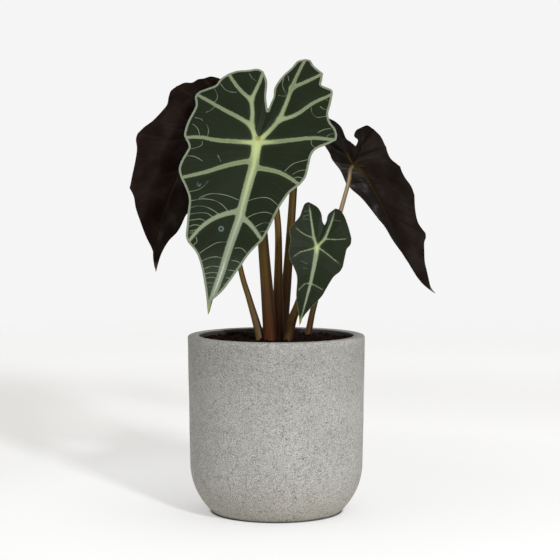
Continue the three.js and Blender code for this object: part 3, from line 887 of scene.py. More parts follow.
def sector_grids(leaf, side, midrib, stations):
    """One half of a blade: for each sector its flat grid, lanes, reaches and stretch of margin."""
    outline, rows = leaf.outline, BASE_ROWS * leaf.fineness
    tip = np.tile(midrib[-1], (rows + 1, 1))
    lines = [(even_steps([(0, 0), outline["notch"]], rows), 0, [])]
    for vein in outline[side]:
        lines.append((vein_points(vein.legs, rows), stations[vein.station], vein.legs))
    lines.append((tip, len(midrib) - 1, []))
    margins = [vein.margin for vein in outline[side]] + [outline[side + "_tip"]]
    for k, margin in enumerate(margins):
        (low, low_root, low_legs), (high, high_root, high_legs) = lines[k], lines[k + 1]
        fan = high_root == low_root
        lanes = FAN_LANES * leaf.fineness if fan else high_root - low_root
        parting = sum(a is b for a, b in zip(low_legs, high_legs)) * (rows // 4)
        lane = np.linspace(0, 1, lanes + 1)
        across = lane[None, :, None]
        reach = (
            reach_of(low, parting)[:, None] * (1 - lane) + reach_of(high, parting)[:, None] * lane
        )
        flat = low[:, None] * (1 - across) + high[:, None] * across
        start = np.array(outline["notch"], float) if k == 0 else low[-1]
        edge = along(smooth_line([tuple(start), *margin, tuple(high[-1])]), lane)
        inner = midrib[low_root : high_root + 1]
        if high_root == len(midrib) - 1:
            edge = keep_clear(edge, inner, 1 if side == "right" else -1)
        flat = flat + (edge - flat[-1]) * reach[..., None]
        if not fan:
            straight = low[0] * (1 - lane[:, None]) + high[0] * lane[:, None]
            flat = flat + (inner - straight) * (1 - reach[..., None])
        if k == 0:
            flat = relax(flat, rows // 4)
        yield flat, np.broadcast_to(lane, reach.shape) + k, reach, edge


for leaf in LEAVES:
    rib_stations = midrib_points(leaf.outline, leaf.fineness)[1]
    print(f"{leaf.name}: {rib_stations[-1]} cells down its midrib")

# %% [markdown]
# Distances on the flat leaf. The pale bands of an alocasia widen where veins meet, like webbed
# fingers. Adding the nearness of each line softly, instead of taking the nearest one, draws those
# webs by itself. The result is a distance in millimetres to the edge of the pale band, below zero
# inside it, which both the relief and the colours read.

# %% Distance to the veins and to the margin
WEB_SOFTNESS = 1.1
YOUNG_WEB_SOFTNESS = 0.5
FULL_VEIN = 26.0
YOUNG_LEAVES = ("small", "mid", "back")
YOUNG_VEIN_END = 0.82
YOUNG_VEIN_FADE = 1.2
FAR_AWAY = 30.0
VEIN_STEPS = 8


def distance_to(points, line, half_widths):
    """Each point's distance to a line, less the line's half width at the nearest place."""
    starts, steps = line[:-1], np.diff(line, axis=0)
    squares = np.maximum((steps**2).sum(1), TINY)
    nearest = np.full(len(points), FAR_AWAY)
    for start, step, square, low, high in zip(
        starts, steps, squares, half_widths[:-1], half_widths[1:]
    ):
        share = np.clip((points - start) @ step / square, 0, 1)
        gap = np.hypot(*(points - start - share[:, None] * step).T)
        nearest = np.minimum(nearest, gap - (low + (high - low) * share))
    return nearest


def soft_union(distances, softness):
    """Several distances joined so that their shapes melt together where they meet."""
    stacked = np.stack(distances)
    least = stacked.min(0)
    total = np.exp(-(stacked - least) / softness).sum(0)
    return least - softness * np.log(total)


def vein_lines(leaf):
    """Each stretch of vein once, as a coarse line with its half width at each point."""
    lines, drawn = [], []
    for side in ("left", "right"):
        for vein in leaf.outline[side]:
            legs = [even_steps(leg, VEIN_STEPS) for leg in vein.legs]
            whole = sum(lengths_of(leg)[-1] for leg in legs)
            root, end = leaf.vein_width
            root = end + (root - end) * min(whole / FULL_VEIN, 1) ** 2
            start = 0
            for leg, line in zip(vein.legs, legs):
                share = (start + lengths_of(line)) / whole
                start += lengths_of(line)[-1]
                half = (root + (end - root) * share) * vein.weight
                if leaf.name in YOUNG_LEAVES:
                    ending = np.clip((share - YOUNG_VEIN_END) / (1 - YOUNG_VEIN_END), 0, 1)
                    half = half - YOUNG_VEIN_FADE * ending
                if leg not in drawn:
                    drawn.append(leg)
                    lines.append((line, half))
    return lines


for leaf in LEAVES:
    print(f"{leaf.name}: {len(vein_lines(leaf))} stretches of vein")

# %% [markdown]
# The blade itself. Its flat grid is lifted by a fold along the midrib, an arch down its length, a
# bulge between the veins and a wave at the margin, as in the CAD model, and the ribs then stand up
# on both faces. Solidify gives it its thickness and its second material, which is the dark
# underside of the leaf.

# %% Blade shape
BLADE_THICKNESS = 1.2
EDGE_THICKNESS = 0.7
EDGE_TAPER = 4.0
CREASE_SOFTNESS = 6
RIB_UPPER = 0.45
RIB_LOWER = 1.9
VEIN_UPPER = 0.3
VEIN_LOWER = 1.1
VEIN_FADE_LENGTH = 110
LEAST_VEIN_RISE = 0.25
VEIN_WIDTH_AT = 0.2
RIB_TIP_FROM = 0.88
RIB_TIP_SHARE = 0.4
FLAT_MERGE = 0.08
RIPPLES = 3
RIPPLE_SHARE = 0.1
SIDE_SHIFT = 3.0
SEEN_FROM_ABOVE = ("front", "small")


def blade_axes(leaf):
    """The blade's own directions: across it, towards its lobes, and out of its upper side."""
    s, p, r = (math.radians(angle) for angle in (leaf.turn, leaf.pitch, leaf.roll))
    out = Vector((math.sin(s) * math.cos(p), math.cos(s) * math.cos(p), math.sin(p)))
    up = Vector((-math.sin(s) * math.sin(p), -math.cos(s) * math.sin(p), math.cos(p)))
    across = up.cross(out)
    turned = across * math.cos(r) + up * math.sin(r)
    raised = up * math.cos(r) - across * math.sin(r)
    return np.array(turned), np.array(raised), np.array(out)


def blade_height(leaf, midrib, flat, lane, reach):
    """Height of the blade's middle above its flat outline."""
    x, y = flat[..., 0], flat[..., 1]
    spine = np.where(y >= 0, 0, np.interp(-y, -midrib[:, 1], midrib[:, 0]))
    offset = x - spine
    tip_share = np.clip(y / midrib[-1, 1], 0, 1)
    (left_near, left_far), (right_near, right_far) = leaf.fold_left, leaf.fold_right
    degrees = np.where(
        offset < 0,
        left_near + (left_far - left_near) * tip_share,
        right_near + (right_far - right_near) * tip_share,
    )
    crease = np.sqrt(offset**2 + CREASE_SOFTNESS**2) - CREASE_SOFTNESS
    arch = np.where(y < 0, leaf.arch_tip, leaf.arch_lobes) * y * y
    bulge = np.abs(np.sin(np.pi * lane)) * np.sin(np.pi * np.minimum(reach, 1))
    wave = reach**4 * np.sin(np.pi * lane) ** 2
    ripple = np.sin(2 * np.pi * RIPPLES * lane) * bulge
    return (
        np.tan(np.radians(degrees)) * crease
        - arch
        + leaf.quilt * bulge
        + leaf.wave * wave
        + RIPPLE_SHARE * leaf.quilt * ripple
    )


def ridge(distance, half_width):
    """A rounded ridge, 1 along its line and 0 from its foot on."""
    share = np.clip((distance + half_width) / half_width, 0, 1)
    return 0.5 + 0.5 * np.cos(np.pi * share)


def measure_sector(leaf, midrib, flat):
    """The distances and relief of each point of a sector's grid."""
    points = flat.reshape(-1, 2)
    root, end = leaf.rib_width
    rib_share = lengths_of(midrib) / lengths_of(midrib)[-1]
    rib_half = np.interp(rib_share, [0, RIB_TIP_FROM, 1], [root, end, end * RIB_TIP_SHARE])
    thin = slice(None, None, leaf.fineness)
    rib_half = np.append(rib_half[thin], rib_half[-1])
    rib = distance_to(points, np.vstack([midrib[thin], midrib[-1:]]), rib_half)
    veins = [distance_to(points, line, half) for line, half in vein_lines(leaf)]
    softness = YOUNG_WEB_SOFTNESS if leaf.name in YOUNG_LEAVES else WEB_SOFTNESS
    pale = soft_union([rib, *veins], softness)
    least_vein = np.min(veins, axis=0)
    share = np.clip(points[:, 1] / midrib[-1, 1], 0, 1)
    fade = np.maximum(1 - np.hypot(*points.T) / VEIN_FADE_LENGTH, LEAST_VEIN_RISE)
    rib_rise = ridge(rib, root + (end - root) * share) * (1 - share)
    vein_half = np.interp(VEIN_WIDTH_AT, [0, 1], leaf.vein_width)
    vein_rise = ridge(least_vein, vein_half) * fade
    shape = flat.shape[:2]
    return {
        "pale": pale.reshape(shape),
        "rib": rib.reshape(shape),
        "upper_rise": np.maximum(RIB_UPPER * rib_rise, VEIN_UPPER * vein_rise).reshape(shape),
        "lower_rise": np.maximum(RIB_LOWER * rib_rise, VEIN_LOWER * vein_rise).reshape(shape),
    }


def held_values(obj, name):
    """A mesh attribute's numbers."""
    values = np.empty(len(obj.data.vertices), np.float32)
    obj.data.attributes[name].data.foreach_get("value", values)
    return values.astype(float)


def nearest_line(points, lines):
    """Each point's distance to the nearest of several lines."""
    nearest = np.full(len(points), FAR_AWAY)
    for line in lines:
        nearest = np.minimum(nearest, distance_to(points, line, np.zeros(len(line))))
    return nearest


def offset_to(points, lines):
    """Each point's step to the nearest place on the lines, and its length, as one vector."""
    nearest = np.tile([FAR_AWAY, 0, FAR_AWAY], (len(points), 1))
    for line in lines:
        for start, end in zip(line, line[1:]):
            step = end - start
            share = np.clip((points - start) @ step / max(step @ step, TINY), 0, 1)
            gap = start + share[:, None] * step - points
            length = np.hypot(*gap.T)
            closer = length < nearest[:, 2]
            nearest[closer] = np.column_stack([gap, length])[closer]
    return nearest


def sector_fields(leaf, midrib, rim, hairs, sector):
    """All that a sector's mesh holds for its materials."""
    side, flat, lane, reach, _ = sector
    points = flat.reshape(-1, 2)
    fields = measure_sector(leaf, midrib, flat)
    fields["margin"] = nearest_line(points, rim).reshape(reach.shape)
    fields["hair"] = offset_to(points, hairs).reshape(*reach.shape, 3)
    fields["tip"] = np.linalg.norm(flat - midrib[-1], axis=-1)
    fields["flat"] = np.concatenate([flat, np.zeros_like(lane)[..., None]], axis=-1) * MM
    shift = np.full(lane.shape, SIDE_SHIFT * (side == "left"))
    fields["weave"] = np.stack([lane, reach, shift], axis=-1)
    return fields


def make_blade(leaf, hairs):
    """A leaf blade, with ribs on both faces and thinner edges."""
    midrib, stations = midrib_points(leaf.outline, leaf.fineness)
    across, up, out = blade_axes(leaf)
    sectors = []
    for side in ("left", "right"):
        for grids in sector_grids(leaf, side, midrib, stations):
            sectors.append((side, *grids))
    rim = [sector[-1] for sector in sectors]
    parts = []
    for number, sector in enumerate(sectors):
        side, flat, lane, reach, _ = sector
        fields = sector_fields(leaf, midrib, rim, hairs, sector)
        height = blade_height(leaf, midrib, flat, lane, reach)
        height = height + fields["upper_rise"] + BLADE_THICKNESS / 2
        places = (
            np.array(leaf.junction)
            + flat[..., :1] * across
            + flat[..., 1:] * up
            + height[..., None] * out
        )
        if side == "left":
            places = places[:, ::-1]
            fields = {label: values[:, ::-1] for label, values in fields.items()}
        parts.append(bent_grid(f"{leaf.name}_sector_{number}", places, fields))
    blade = join(f"{leaf.name}_leaf_blade", parts)
    edit_all(blade, (bpy.ops.mesh.remove_doubles, {"threshold": FLAT_MERGE * MM}))
    blade.data.materials.append(upper_material(leaf))
    blade.data.materials.append(underside_material(leaf))
    count = len(blade.data.vertices)
    apply_modifier(
        blade,
        "thickness",
        "SOLIDIFY",
        thickness=BLADE_THICKNESS * MM,
        offset=-1,
        material_offset=1,
        material_offset_rim=0 if leaf.name in SEEN_FROM_ABOVE else 1,
    )
    places = mesh_places(blade)
    near_edge = np.clip(1 - held_values(blade, "margin") / EDGE_TAPER, 0, 1)
    sink = held_values(blade, "lower_rise") + held_values(blade, "upper_rise")
    sink = sink - (BLADE_THICKNESS - EDGE_THICKNESS) * near_edge
    places[count:] -= sink[count:, None] * out
    move_to(blade, places)
    slot = "leaf_maroon" if leaf.name in ("left", "right") else "leaf_green"
    finish_piece(blade, slot, f"blade_{leaf.name}")


# %% [markdown]
# The upper side of a leaf: deep green with a satin sheen, broad pale veins that are lighter along
# their middle, a midrib with painted shade on its flanks and a painted highlight on its lower part,
# and a pale line round the margin. All of it is drawn from distances held by the mesh, so the edges
# stay crisp however coarse the mesh is. A group holds the pattern, and each leaf sets its own
# strengths.

# %% Upper side material
LEAF_GREEN = (0.0100, 0.0145, 0.0062, 1)
LEAF_GREEN_LIT = (0.0158, 0.0220, 0.0100, 1)
LEAF_HALO = (0.030, 0.050, 0.016, 1)
VEIN_SIDE = (0.205, 0.240, 0.148, 1)
VEIN_MIDDLE = (0.168, 0.205, 0.092, 1)
VEIN_LOW = (0.250, 0.280, 0.205, 1)
NECK_CREAM = (0.280, 0.330, 0.155, 1)
RIB_CREAM = (0.400, 0.450, 0.225, 1)
JUNCTION_CREAM = (0.460, 0.520, 0.225, 1)
RIB_GREY = (0.320, 0.365, 0.262, 1)
RIB_PAINTED_HIGHLIGHT = (0.600, 0.640, 0.550, 1)
RIB_SIDE_SHADE = (0.230, 0.265, 0.140, 1)
RIB_SIDE_SHADE_GREY = (0.210, 0.245, 0.172, 1)
HAIR_PALE = (0.25, 0.30, 0.22, 1)
JUNCTION_OLIVE = (0.24, 0.23, 0.05, 1)
MARGIN_PALE = (0.200, 0.235, 0.165, 1)
HAIR_SLACK = 0.8
JUNCTION = (0, 0, 0)
NECKS = (0.010, 0.034, 0)
BLOT = (0.001, 0.005, 0)


def distance_from(tree, vector, centre):
    """Distance from a place on the flat leaf, in metres."""
    made = add_node(tree, "ShaderNodeVectorMath", {"operation": "DISTANCE"}, Vector=vector)
    made.inputs[1].default_value = centre
    return made.outputs["Value"]


def blade_green(group, flat, pale, from_junction):
    """The green between the veins, lighter beside the veins near the stalk and hazy at the tip."""
    green = mix(group, grain(group, flat, 38, 3), LEAF_GREEN, LEAF_GREEN_LIT)
    near = ease(group, from_junction, 0.040, 0.006, 0.10, 0.5)
    green = mix(group, times(group, near, ease(group, pale, 4.0, 0.0)), green, LEAF_HALO)
    haze = ease(group, axis_of(group, flat, "Y"), -0.10, -0.13, 0, 0.07)
    return mix(group, haze, green, HAIR_PALE)


def fine_lines(group, flat, given):
    """A mask of the pale hairs, and of the finest veins, which run along the mesh's lanes."""
    weave = attribute(group, "weave", "Vector")
    lane = axis_of(group, weave, "X")
    wander = times(group, grain(group, flat, 60, 2), 0.9)
    beat = calc(group, "PINGPONG", times_add(group, lane, 7.0, wander), 0.5)
    strand = times(
        group,
        ease(group, beat, 0.06, 0.0),
        given.outputs["Fine Veins"],
        ease(group, axis_of(group, weave, "Y"), 0.25, 0.7),
        ease(group, lane, 1.0, 1.15),
    )
    to_hair = attribute(group, "hair", "Vector")
    beyond = calc(group, "SUBTRACT", axis_of(group, to_hair, "Z"), HAIR_SLACK)
    beside = length_of(group, scaled(group, to_hair, (1, 1, 0)))
    line = ease(group, calc(group, "MAXIMUM", beside, beyond), 0.50, 0.08)
    worn = ease(group, grain(group, flat, 80, 2), 0.3, 0.62, 0.25, 1.0)
    return calc(group, "MAXIMUM", times(group, line, worn, given.outputs["Hair"]), strand)


def vein_colours(group, flat, pale, rib, from_junction, cream_share, green):
    """Veins and midrib over the green, cream to grey, the rib with painted shade and highlight."""
    run = axis_of(group, flat, "Y")
    low_down = ease(group, run, -0.03, -0.10)
    necks = ease(group, distance_from(group, flat, NECKS), 0.036, 0.020)
    vein_tone = mix(group, low_down, mix(group, necks, VEIN_MIDDLE, NECK_CREAM), VEIN_LOW)
    veined = mix(group, ease(group, pale, 0.45, -0.75), green, VEIN_SIDE)
    veined = mix(group, ease(group, pale, -0.8, -1.7, 0, 0.85), veined, vein_tone)
    cream = times(group, calc(group, "SUBTRACT", 1.0, low_down), cream_share)
    # Painted shade: the midrib's flanks are darker and greyer than its middle, as a rounded rib
    # shades.
    rib_side_shade = mix(group, cream, RIB_SIDE_SHADE_GREY, RIB_SIDE_SHADE)
    rib_tone = mix(group, cream, RIB_GREY, RIB_CREAM)
    # Painted highlight: the midrib turns paler and greyer on its lower part.
    rib_tone = mix(group, ease(group, run, -0.112, -0.128), rib_tone, RIB_PAINTED_HIGHLIGHT)
    veined = mix(group, ease(group, rib, -0.2, -1.4), veined, rib_side_shade)
    veined = mix(group, ease(group, rib, -1.8, -4.3), veined, rib_tone)
    glow = times(group, ease(group, from_junction, 0.024, 0.006), ease(group, pale, 0, -2), 0.75)
    veined = mix(group, glow, veined, JUNCTION_CREAM)
    blot = ease(group, distance_from(group, flat, BLOT), 0.0045, 0.001, 0.0, 0.8)
    return mix(group, times(group, blot, ease(group, pale, 0, -1)), veined, JUNCTION_OLIVE)


def margin_line(group, margin_width, fray, tone):
    """The pale line round the margin, with a darker one along its middle."""
    edge = calc(group, "SUBTRACT", attribute(group, "margin"), margin_width)
    edge = times_add(group, fray, 1.2, edge)
    lined = mix(group, ease(group, edge, 0.35, -0.6), tone, MARGIN_PALE)
    from_middle = calc(group, "ABSOLUTE", calc(group, "ADD", edge, 1.0))
    return mix(group, ease(group, from_middle, 0.45, 0.0, 0, 0.3), lined, VEIN_MIDDLE)


def build_leaf_pattern():
    """Colour, sheen and relief of a leaf's upper side from the distances on its mesh."""
    group, given, made = new_group(
        "leaf pattern",
        [(label, "number") for label in ("Margin Width", "Hair", "Fine Veins", "Cream", "Glow")],
        [("Color", "colour"), ("Roughness", "number"), ("Height", "number")],
    )
    flat = attribute(group, "flat", "Vector")
    fray = calc(group, "SUBTRACT", grain(group, flat, 700, 3), 0.5)
    barbs = grain(group, scaled(group, flat, (260, 1100, 1)), 1.0, 3)
    barbs = calc(group, "SUBTRACT", barbs, 0.5)
    pale = times_add(group, barbs, 0.9, times_add(group, fray, 1.3, attribute(group, "pale")))
    rib = times_add(group, barbs, 2.2, attribute(group, "rib"))
    from_junction = distance_from(group, flat, JUNCTION)
    from_junction = calc(group, "DIVIDE", from_junction, given.outputs["Glow"])
    lines = fine_lines(group, flat, given)
    green = mix(group, lines, blade_green(group, flat, pale, from_junction), HAIR_PALE)
    cream_share = given.outputs["Cream"]
    tone = vein_colours(group, flat, pale, rib, from_junction, cream_share, green)
    tone = margin_line(group, given.outputs["Margin Width"], fray, tone)
    sheen = times_add(group, grain(group, flat, 160, 4), 0.16, 0.36)
    pores = times(group, grain(group, flat, 1500, 3), 0.3)
    fill_socket(group, made.inputs["Color"], tone)
    fill_socket(group, made.inputs["Roughness"], sheen)
    fill_socket(group, made.inputs["Height"], times_add(group, lines, 0.7, pores))
    return group


LEAF_PATTERN = build_leaf_pattern()
LeafFinish = namedtuple(
    "LeafFinish", "margin_width hair fine_veins cream glow tip tip_tone specular"
)
TIP_FADES_OVER = (4, -3)
TIP_CREAM = (0.250, 0.265, 0.120, 1)
TIP_OLIVE = (0.220, 0.210, 0.050, 1)
LEAF_FINISHES = {
    "front": LeafFinish(2.1, 0.8, 0.03, 1.0, 1.0, 9.0, TIP_CREAM, 0.07),
    "small": LeafFinish(0.15, 0.32, 0.05, 0.25, 0.4, 7.0, TIP_OLIVE, 0.05),
    "left": LeafFinish(1.6, 0.0, 0.25, 0.8, 1.0, 9.0, TIP_CREAM, 0.10),
    "right": LeafFinish(1.6, 0.0, 0.25, 0.8, 1.0, 9.0, TIP_CREAM, 0.10),
    "mid": LeafFinish(0.4, 0.0, 0.12, 0.4, 0.4, 7.0, TIP_OLIVE, 0.10),
    "back": LeafFinish(0.4, 0.0, 0.12, 0.4, 0.4, 7.0, TIP_OLIVE, 0.10),
}
SMUDGE_PLACE = (-0.056, -0.0435, 0)
DROP_PLACE = (-0.0335, -0.0865, 0)
DROP_RADIUS = 0.0020
DUST_BLUE = (0.13, 0.17, 0.19, 1)


def add_marks(tree, tone):
    """The two small dusty marks on the front leaf: a smudge and a dried drop."""
    flat = attribute(tree, "flat", "Vector")
    dust = ease(tree, grain(tree, flat, 420, 2), 0.35, 0.65)
    smudge = ease(tree, distance_from(tree, flat, SMUDGE_PLACE), 0.0034, 0.0006)
    from_drop = calc(tree, "SUBTRACT", distance_from(tree, flat, DROP_PLACE), DROP_RADIUS)
    ring = ease(tree, calc(tree, "ABSOLUTE", from_drop), 0.0012, 0.0003)
    marks = calc(tree, "MAXIMUM", times(tree, smudge, dust), ring)
    return mix(tree, times(tree, marks, 0.75), tone, DUST_BLUE)


def upper_material(leaf):
    """A leaf's own green, with its margin, veins and hairs."""
    finish = LEAF_FINISHES[leaf.name]
    material, tree, shader = new_material(f"{leaf.name} leaf green")
    pattern = use_group(
        tree,
        LEAF_PATTERN,
        Margin_Width=finish.margin_width,
        Hair=finish.hair,
        Fine_Veins=finish.fine_veins,
        Cream=finish.cream,
        Glow=finish.glow,
    )
    tone = pattern.outputs["Color"]
    if leaf.name == "front":
        tone = add_marks(tree, tone)
    fade_start, fade_end = (finish.tip + extra for extra in TIP_FADES_OVER)
    at_tip = ease(tree, attribute(tree, "tip"), fade_start, fade_end)
    tone = mix(tree, at_tip, tone, finish.tip_tone)
    fill_shader(
        tree,
        shader,
        Base_Color=tone,
        Roughness=pattern.outputs["Roughness"],
        Normal=bump(tree, pattern.outputs["Height"], 0.0003, 0.5),
        Specular_IOR_Level=finish.specular,
    )
    return material


# %% [markdown]
# The underside is almost black, a maroon pigment under a thin gloss, with olive-brown ribs that
# gather at the stalk. The gloss is a coat that is strong only in patches of streaks, which follow
# the fine veins between the big ones, so the streaks are stretched along the lanes of the mesh.

# %% Underside material
UnderFinish = namedtuple("UnderFinish", "label dark lit gloss streaks")
MAROON_UNDER = UnderFinish(
    label="maroon",
    dark=(0.0090, 0.0052, 0.0042, 1),
    lit=(0.0225, 0.0140, 0.0108, 1),
    gloss=0.020,
    streaks=0.10,
)
# The right leaf's underside is greyer and lighter than the others': a painted sheen, a grey veil of
# reflection in its colours.
PAINTED_SHEEN_UNDER = UnderFinish(
    label="painted_sheen",
    dark=(0.0135, 0.0088, 0.0075, 1),
    lit=(0.0320, 0.0240, 0.0208, 1),
    gloss=0.04,
    streaks=0.22,
)
UNDER_VEIN = (0.0190, 0.0120, 0.0070, 1)
UNDER_RIB = (0.0620, 0.0410, 0.0150, 1)
UNDER_JUNCTION = (0.060, 0.042, 0.014, 1)
UNDER_TIP = (0.12, 0.10, 0.035, 1)


def underside_material(leaf):
    """The dark underside. The right leaf's has a painted sheen, and the others share one."""
    finish = PAINTED_SHEEN_UNDER if leaf.name == "right" else MAROON_UNDER
    found = bpy.data.materials.get(f"leaf {finish.label}")
    if found:
        return found
    material, tree, shader = new_material(f"leaf {finish.label}")
    flat = attribute(tree, "flat", "Vector")
    weave = attribute(tree, "weave", "Vector")
    blotches = grain(tree, flat, 30, 3)
    tone = mix(tree, ease(tree, blotches, 0.3, 0.7), finish.dark, finish.lit)
    vein = ease(tree, attribute(tree, "pale"), 0.6, -1.6)
    tone = mix(tree, vein, tone, UNDER_VEIN)
    rib = ease(tree, attribute(tree, "rib"), -1.3, -3.4)
    tone = mix(tree, rib, tone, UNDER_RIB)
    near_stalk = ease(tree, distance_from(tree, flat, JUNCTION), 0.024, 0.004, 0, 0.9)
    tone = mix(tree, times(tree, near_stalk, vein), tone, UNDER_JUNCTION)
    tone = mix(tree, ease(tree, attribute(tree, "tip"), 12.0, 5.0, 0, 0.8), tone, UNDER_TIP)
    threads = grain(tree, scaled(tree, weave, (7, 1.3, 1)), 1.0, 3)
    streaks = times(tree, threads, calc(tree, "SUBTRACT", 1.0, rib))
    height = times_add(tree, grain(tree, flat, 500, 4), 0.25, streaks)
    shine = times(tree, ease(tree, threads, 0.42, 0.66), ease(tree, blotches, 0.42, 0.62))
    fill_shader(
        tree,
        shader,
        Base_Color=tone,
        Roughness=times_add(tree, threads, 0.2, 0.45),
        Normal=bump(tree, height, 0.0014, 0.6),
        Coat_Weight=times_add(tree, shine, finish.streaks, finish.gloss),
        Coat_Roughness=0.32,
        Specular_IOR_Level=0.0,
    )
    return material


# %% [markdown]
# Fine pale hairs arch between the veins of a grown leaf, most of them in its lower half. Each one
# is a short arc through a few points on the flat leaf. Then each blade is built and laid over its
# solid.

# %% Blades with their hairs
HAIR_STEP = 15
FRONT_HAIRS = [
    [(-35, -20), (-38, -14)],
    [(-53, -20), (-60, -16), (-68, -15)],
    [(-47, -40), (-51, -45), (-57, -49), (-66, -51)],
    [(-54, 1), (-54, -3), (-58, -6), (-65, -8)],
    [(-57, 7), (-58, 12), (-61, 16), (-64, 18)],
    [(-49, 6), (-48, 12), (-50, 18)],
    [(-54, 22), (-57, 24), (-62, 25)],
    [(-44, 42), (-41, 46), (-41, 51), (-44, 57)],
    [(-43, 38), (-46, 34), (-51, 31)],
    [(-22, 54), (-28, 54), (-34, 57), (-38, 63)],
    [(-10, 75), (-7, 70), (-3, 67)],
    [(29, 51), (25, 57), (23.5, 63), (25, 70)],
    [(28, 48), (24, 49), (20, 50)],
    [(30, 66), (29, 72)],
    [(62, 37), (65, 34), (70, 33)],
    [(67, 46), (70, 42)],
    [(53, 36), (54, 30), (59, 25), (69, 26)],
    [(60, 9), (66, 12), (73, 13)],
    [(69, 5), (72, 7), (77, 8)],
    [(54, 2), (54, -3), (58, -7)],
    [(28, -30), (32, -26), (38, -22), (50, -19)],
    [(37, -37), (42, -36), (47, -38)],
    [(36, -33), (42, -30), (49, -29)],
    [(-17, -58), (-28, -54), (-40, -52.5), (-49, -54), (-55, -57)],
    [(-27, -69), (-33, -63), (-41, -59), (-52, -58), (-63, -60)],
    [(-35, -73), (-41, -69), (-49, -65.5), (-57, -65), (-64, -67)],
    [(-41, -76), (-47, -72), (-54, -71.5), (-64, -73)],
    [(-48, -80), (-54, -77.5), (-64, -79)],
    [(-54, -84), (-59, -83), (-65, -85)],
    [(-58, -88), (-65, -89)],
    [(-61, -91), (-66, -92)],
    [(-58, -95), (-57, -99), (-61, -103)],
    [(-28, -99), (-37, -100), (-45, -104), (-54, -110)],
    [(-31, -115), (-38, -113.5), (-46, -115), (-52, -118)],
    [(-34, -123), (-42, -122.5), (-50, -125)],
    [(-37, -128.5), (-43, -128.5), (-50, -130)],
    [(-38, -133.5), (-44, -133), (-50, -134.5)],
    [(-40, -138.5), (-45, -138), (-49.5, -139)],
    [(-42, -142), (-49, -142)],
    [(-43, -145.5), (-48, -146)],
    [(-8, -59), (-1, -57), (8, -56), (15, -58), (22, -64)],
    [(-9, -76), (-2, -72.5), (8, -70.5), (15, -72), (20, -76)],
    [(-1, -85), (6, -81.5), (12, -81), (16, -83)],
    [(3, -90), (8, -89), (13, -90)],
    [(-20, -105), (-14, -105), (-10, -108), (-7, -112)],
    [(-23, -117), (-17, -118), (-12, -122)],
    [(-26, -126), (-20, -127), (-16, -130)],
    [(-28, -133), (-22, -135), (-19, -137)],
    [(-31, -139), (-26, -140)],
    [(-34, -143.5), (-29, -144.5)],
]
SMALL_HAIRS = [
    [(-6, 37), (-12, 36)],
    [(-6, 33), (-13, 31)],
    [(-7, 28), (-13, 28)],
    [(16, 27), (20, 26.5), (24, 25.5)],
    [(-16, -14), (-12, -16), (-10, -17)],
    [(-10, -22), (-14, -21)],
]
HAIRS = {
    "front": [smooth_line(hair)[::HAIR_STEP] for hair in FRONT_HAIRS],
    "small": [smooth_line(hair)[::HAIR_STEP] for hair in SMALL_HAIRS],
}
for leaf in LEAVES:
    make_blade(leaf, HAIRS.get(leaf.name, []))

# %% [markdown]
# A stalk is one long tube that thins upwards. It is swept along the CAD route with many more
# sides, swells a little where it leaves the soil, and opens into the rib where it meets the blade,
# so that leaf and stalk look grown together. Fine grooves run its whole length.

# %% Stalks
STALK_SIDES = 40
STALK_STEPS = 120
STALK_TAPER = 1.5
NECK_RADII = 1.2
CORM_TOP = 153
GAP = 0.3
ROOT_RISE = 4
GROOVES = 11
GROOVE_DEPTH = 0.012
OVAL_SHARE = 0.02
SEAM_MERGE = 0.01
FOOT_HEIGHT = 176
FootSwell = namedtuple("FootSwell", "share rise")
FOOT_SWELLS = {
    "front": FootSwell(0.16, 60),
    "small": FootSwell(0.25, 34),
    "left": FootSwell(0.4, 30),
    "right": FootSwell(0.2, 30),
    "mid": FootSwell(0.65, 62),
    "back": FootSwell(0.25, 62),
}
NECK_FLARE = 0.12
NECK_FLARE_RADII = 1.6


def stalk_line(leaf):
    """The stalk's middle line, from the corm to just inside the blade."""
    out = blade_axes(leaf)[2]
    junction = np.array(leaf.junction, float)
    seat = BLADE_THICKNESS / 2 + RIB_LOWER + GAP
    points = [
        (*leaf.root, CORM_TOP + GAP),
        (*leaf.root, CORM_TOP + ROOT_RISE),
        *leaf.route,
        tuple(junction - out * (seat + NECK_RADII * leaf.radii[1])),
        tuple(junction - out * BLADE_THICKNESS / 2),
    ]
    return along(smooth_line(points, even=True), np.linspace(0, 1, STALK_STEPS + 1))


def rings_along(line):
    """At each point of a line, two directions square to it that don't twist."""
    leans = np.gradient(line, axis=0)
    leans /= np.linalg.norm(leans, axis=1)[:, None]
    side = np.cross(leans[0], (0, 1, 0))
    sides = []
    for lean in leans:
        side = side - lean * (side @ lean)
        side = side / np.linalg.norm(side)
        sides.append(side)
    sides = np.array(sides)
    return sides, np.cross(leans, sides)


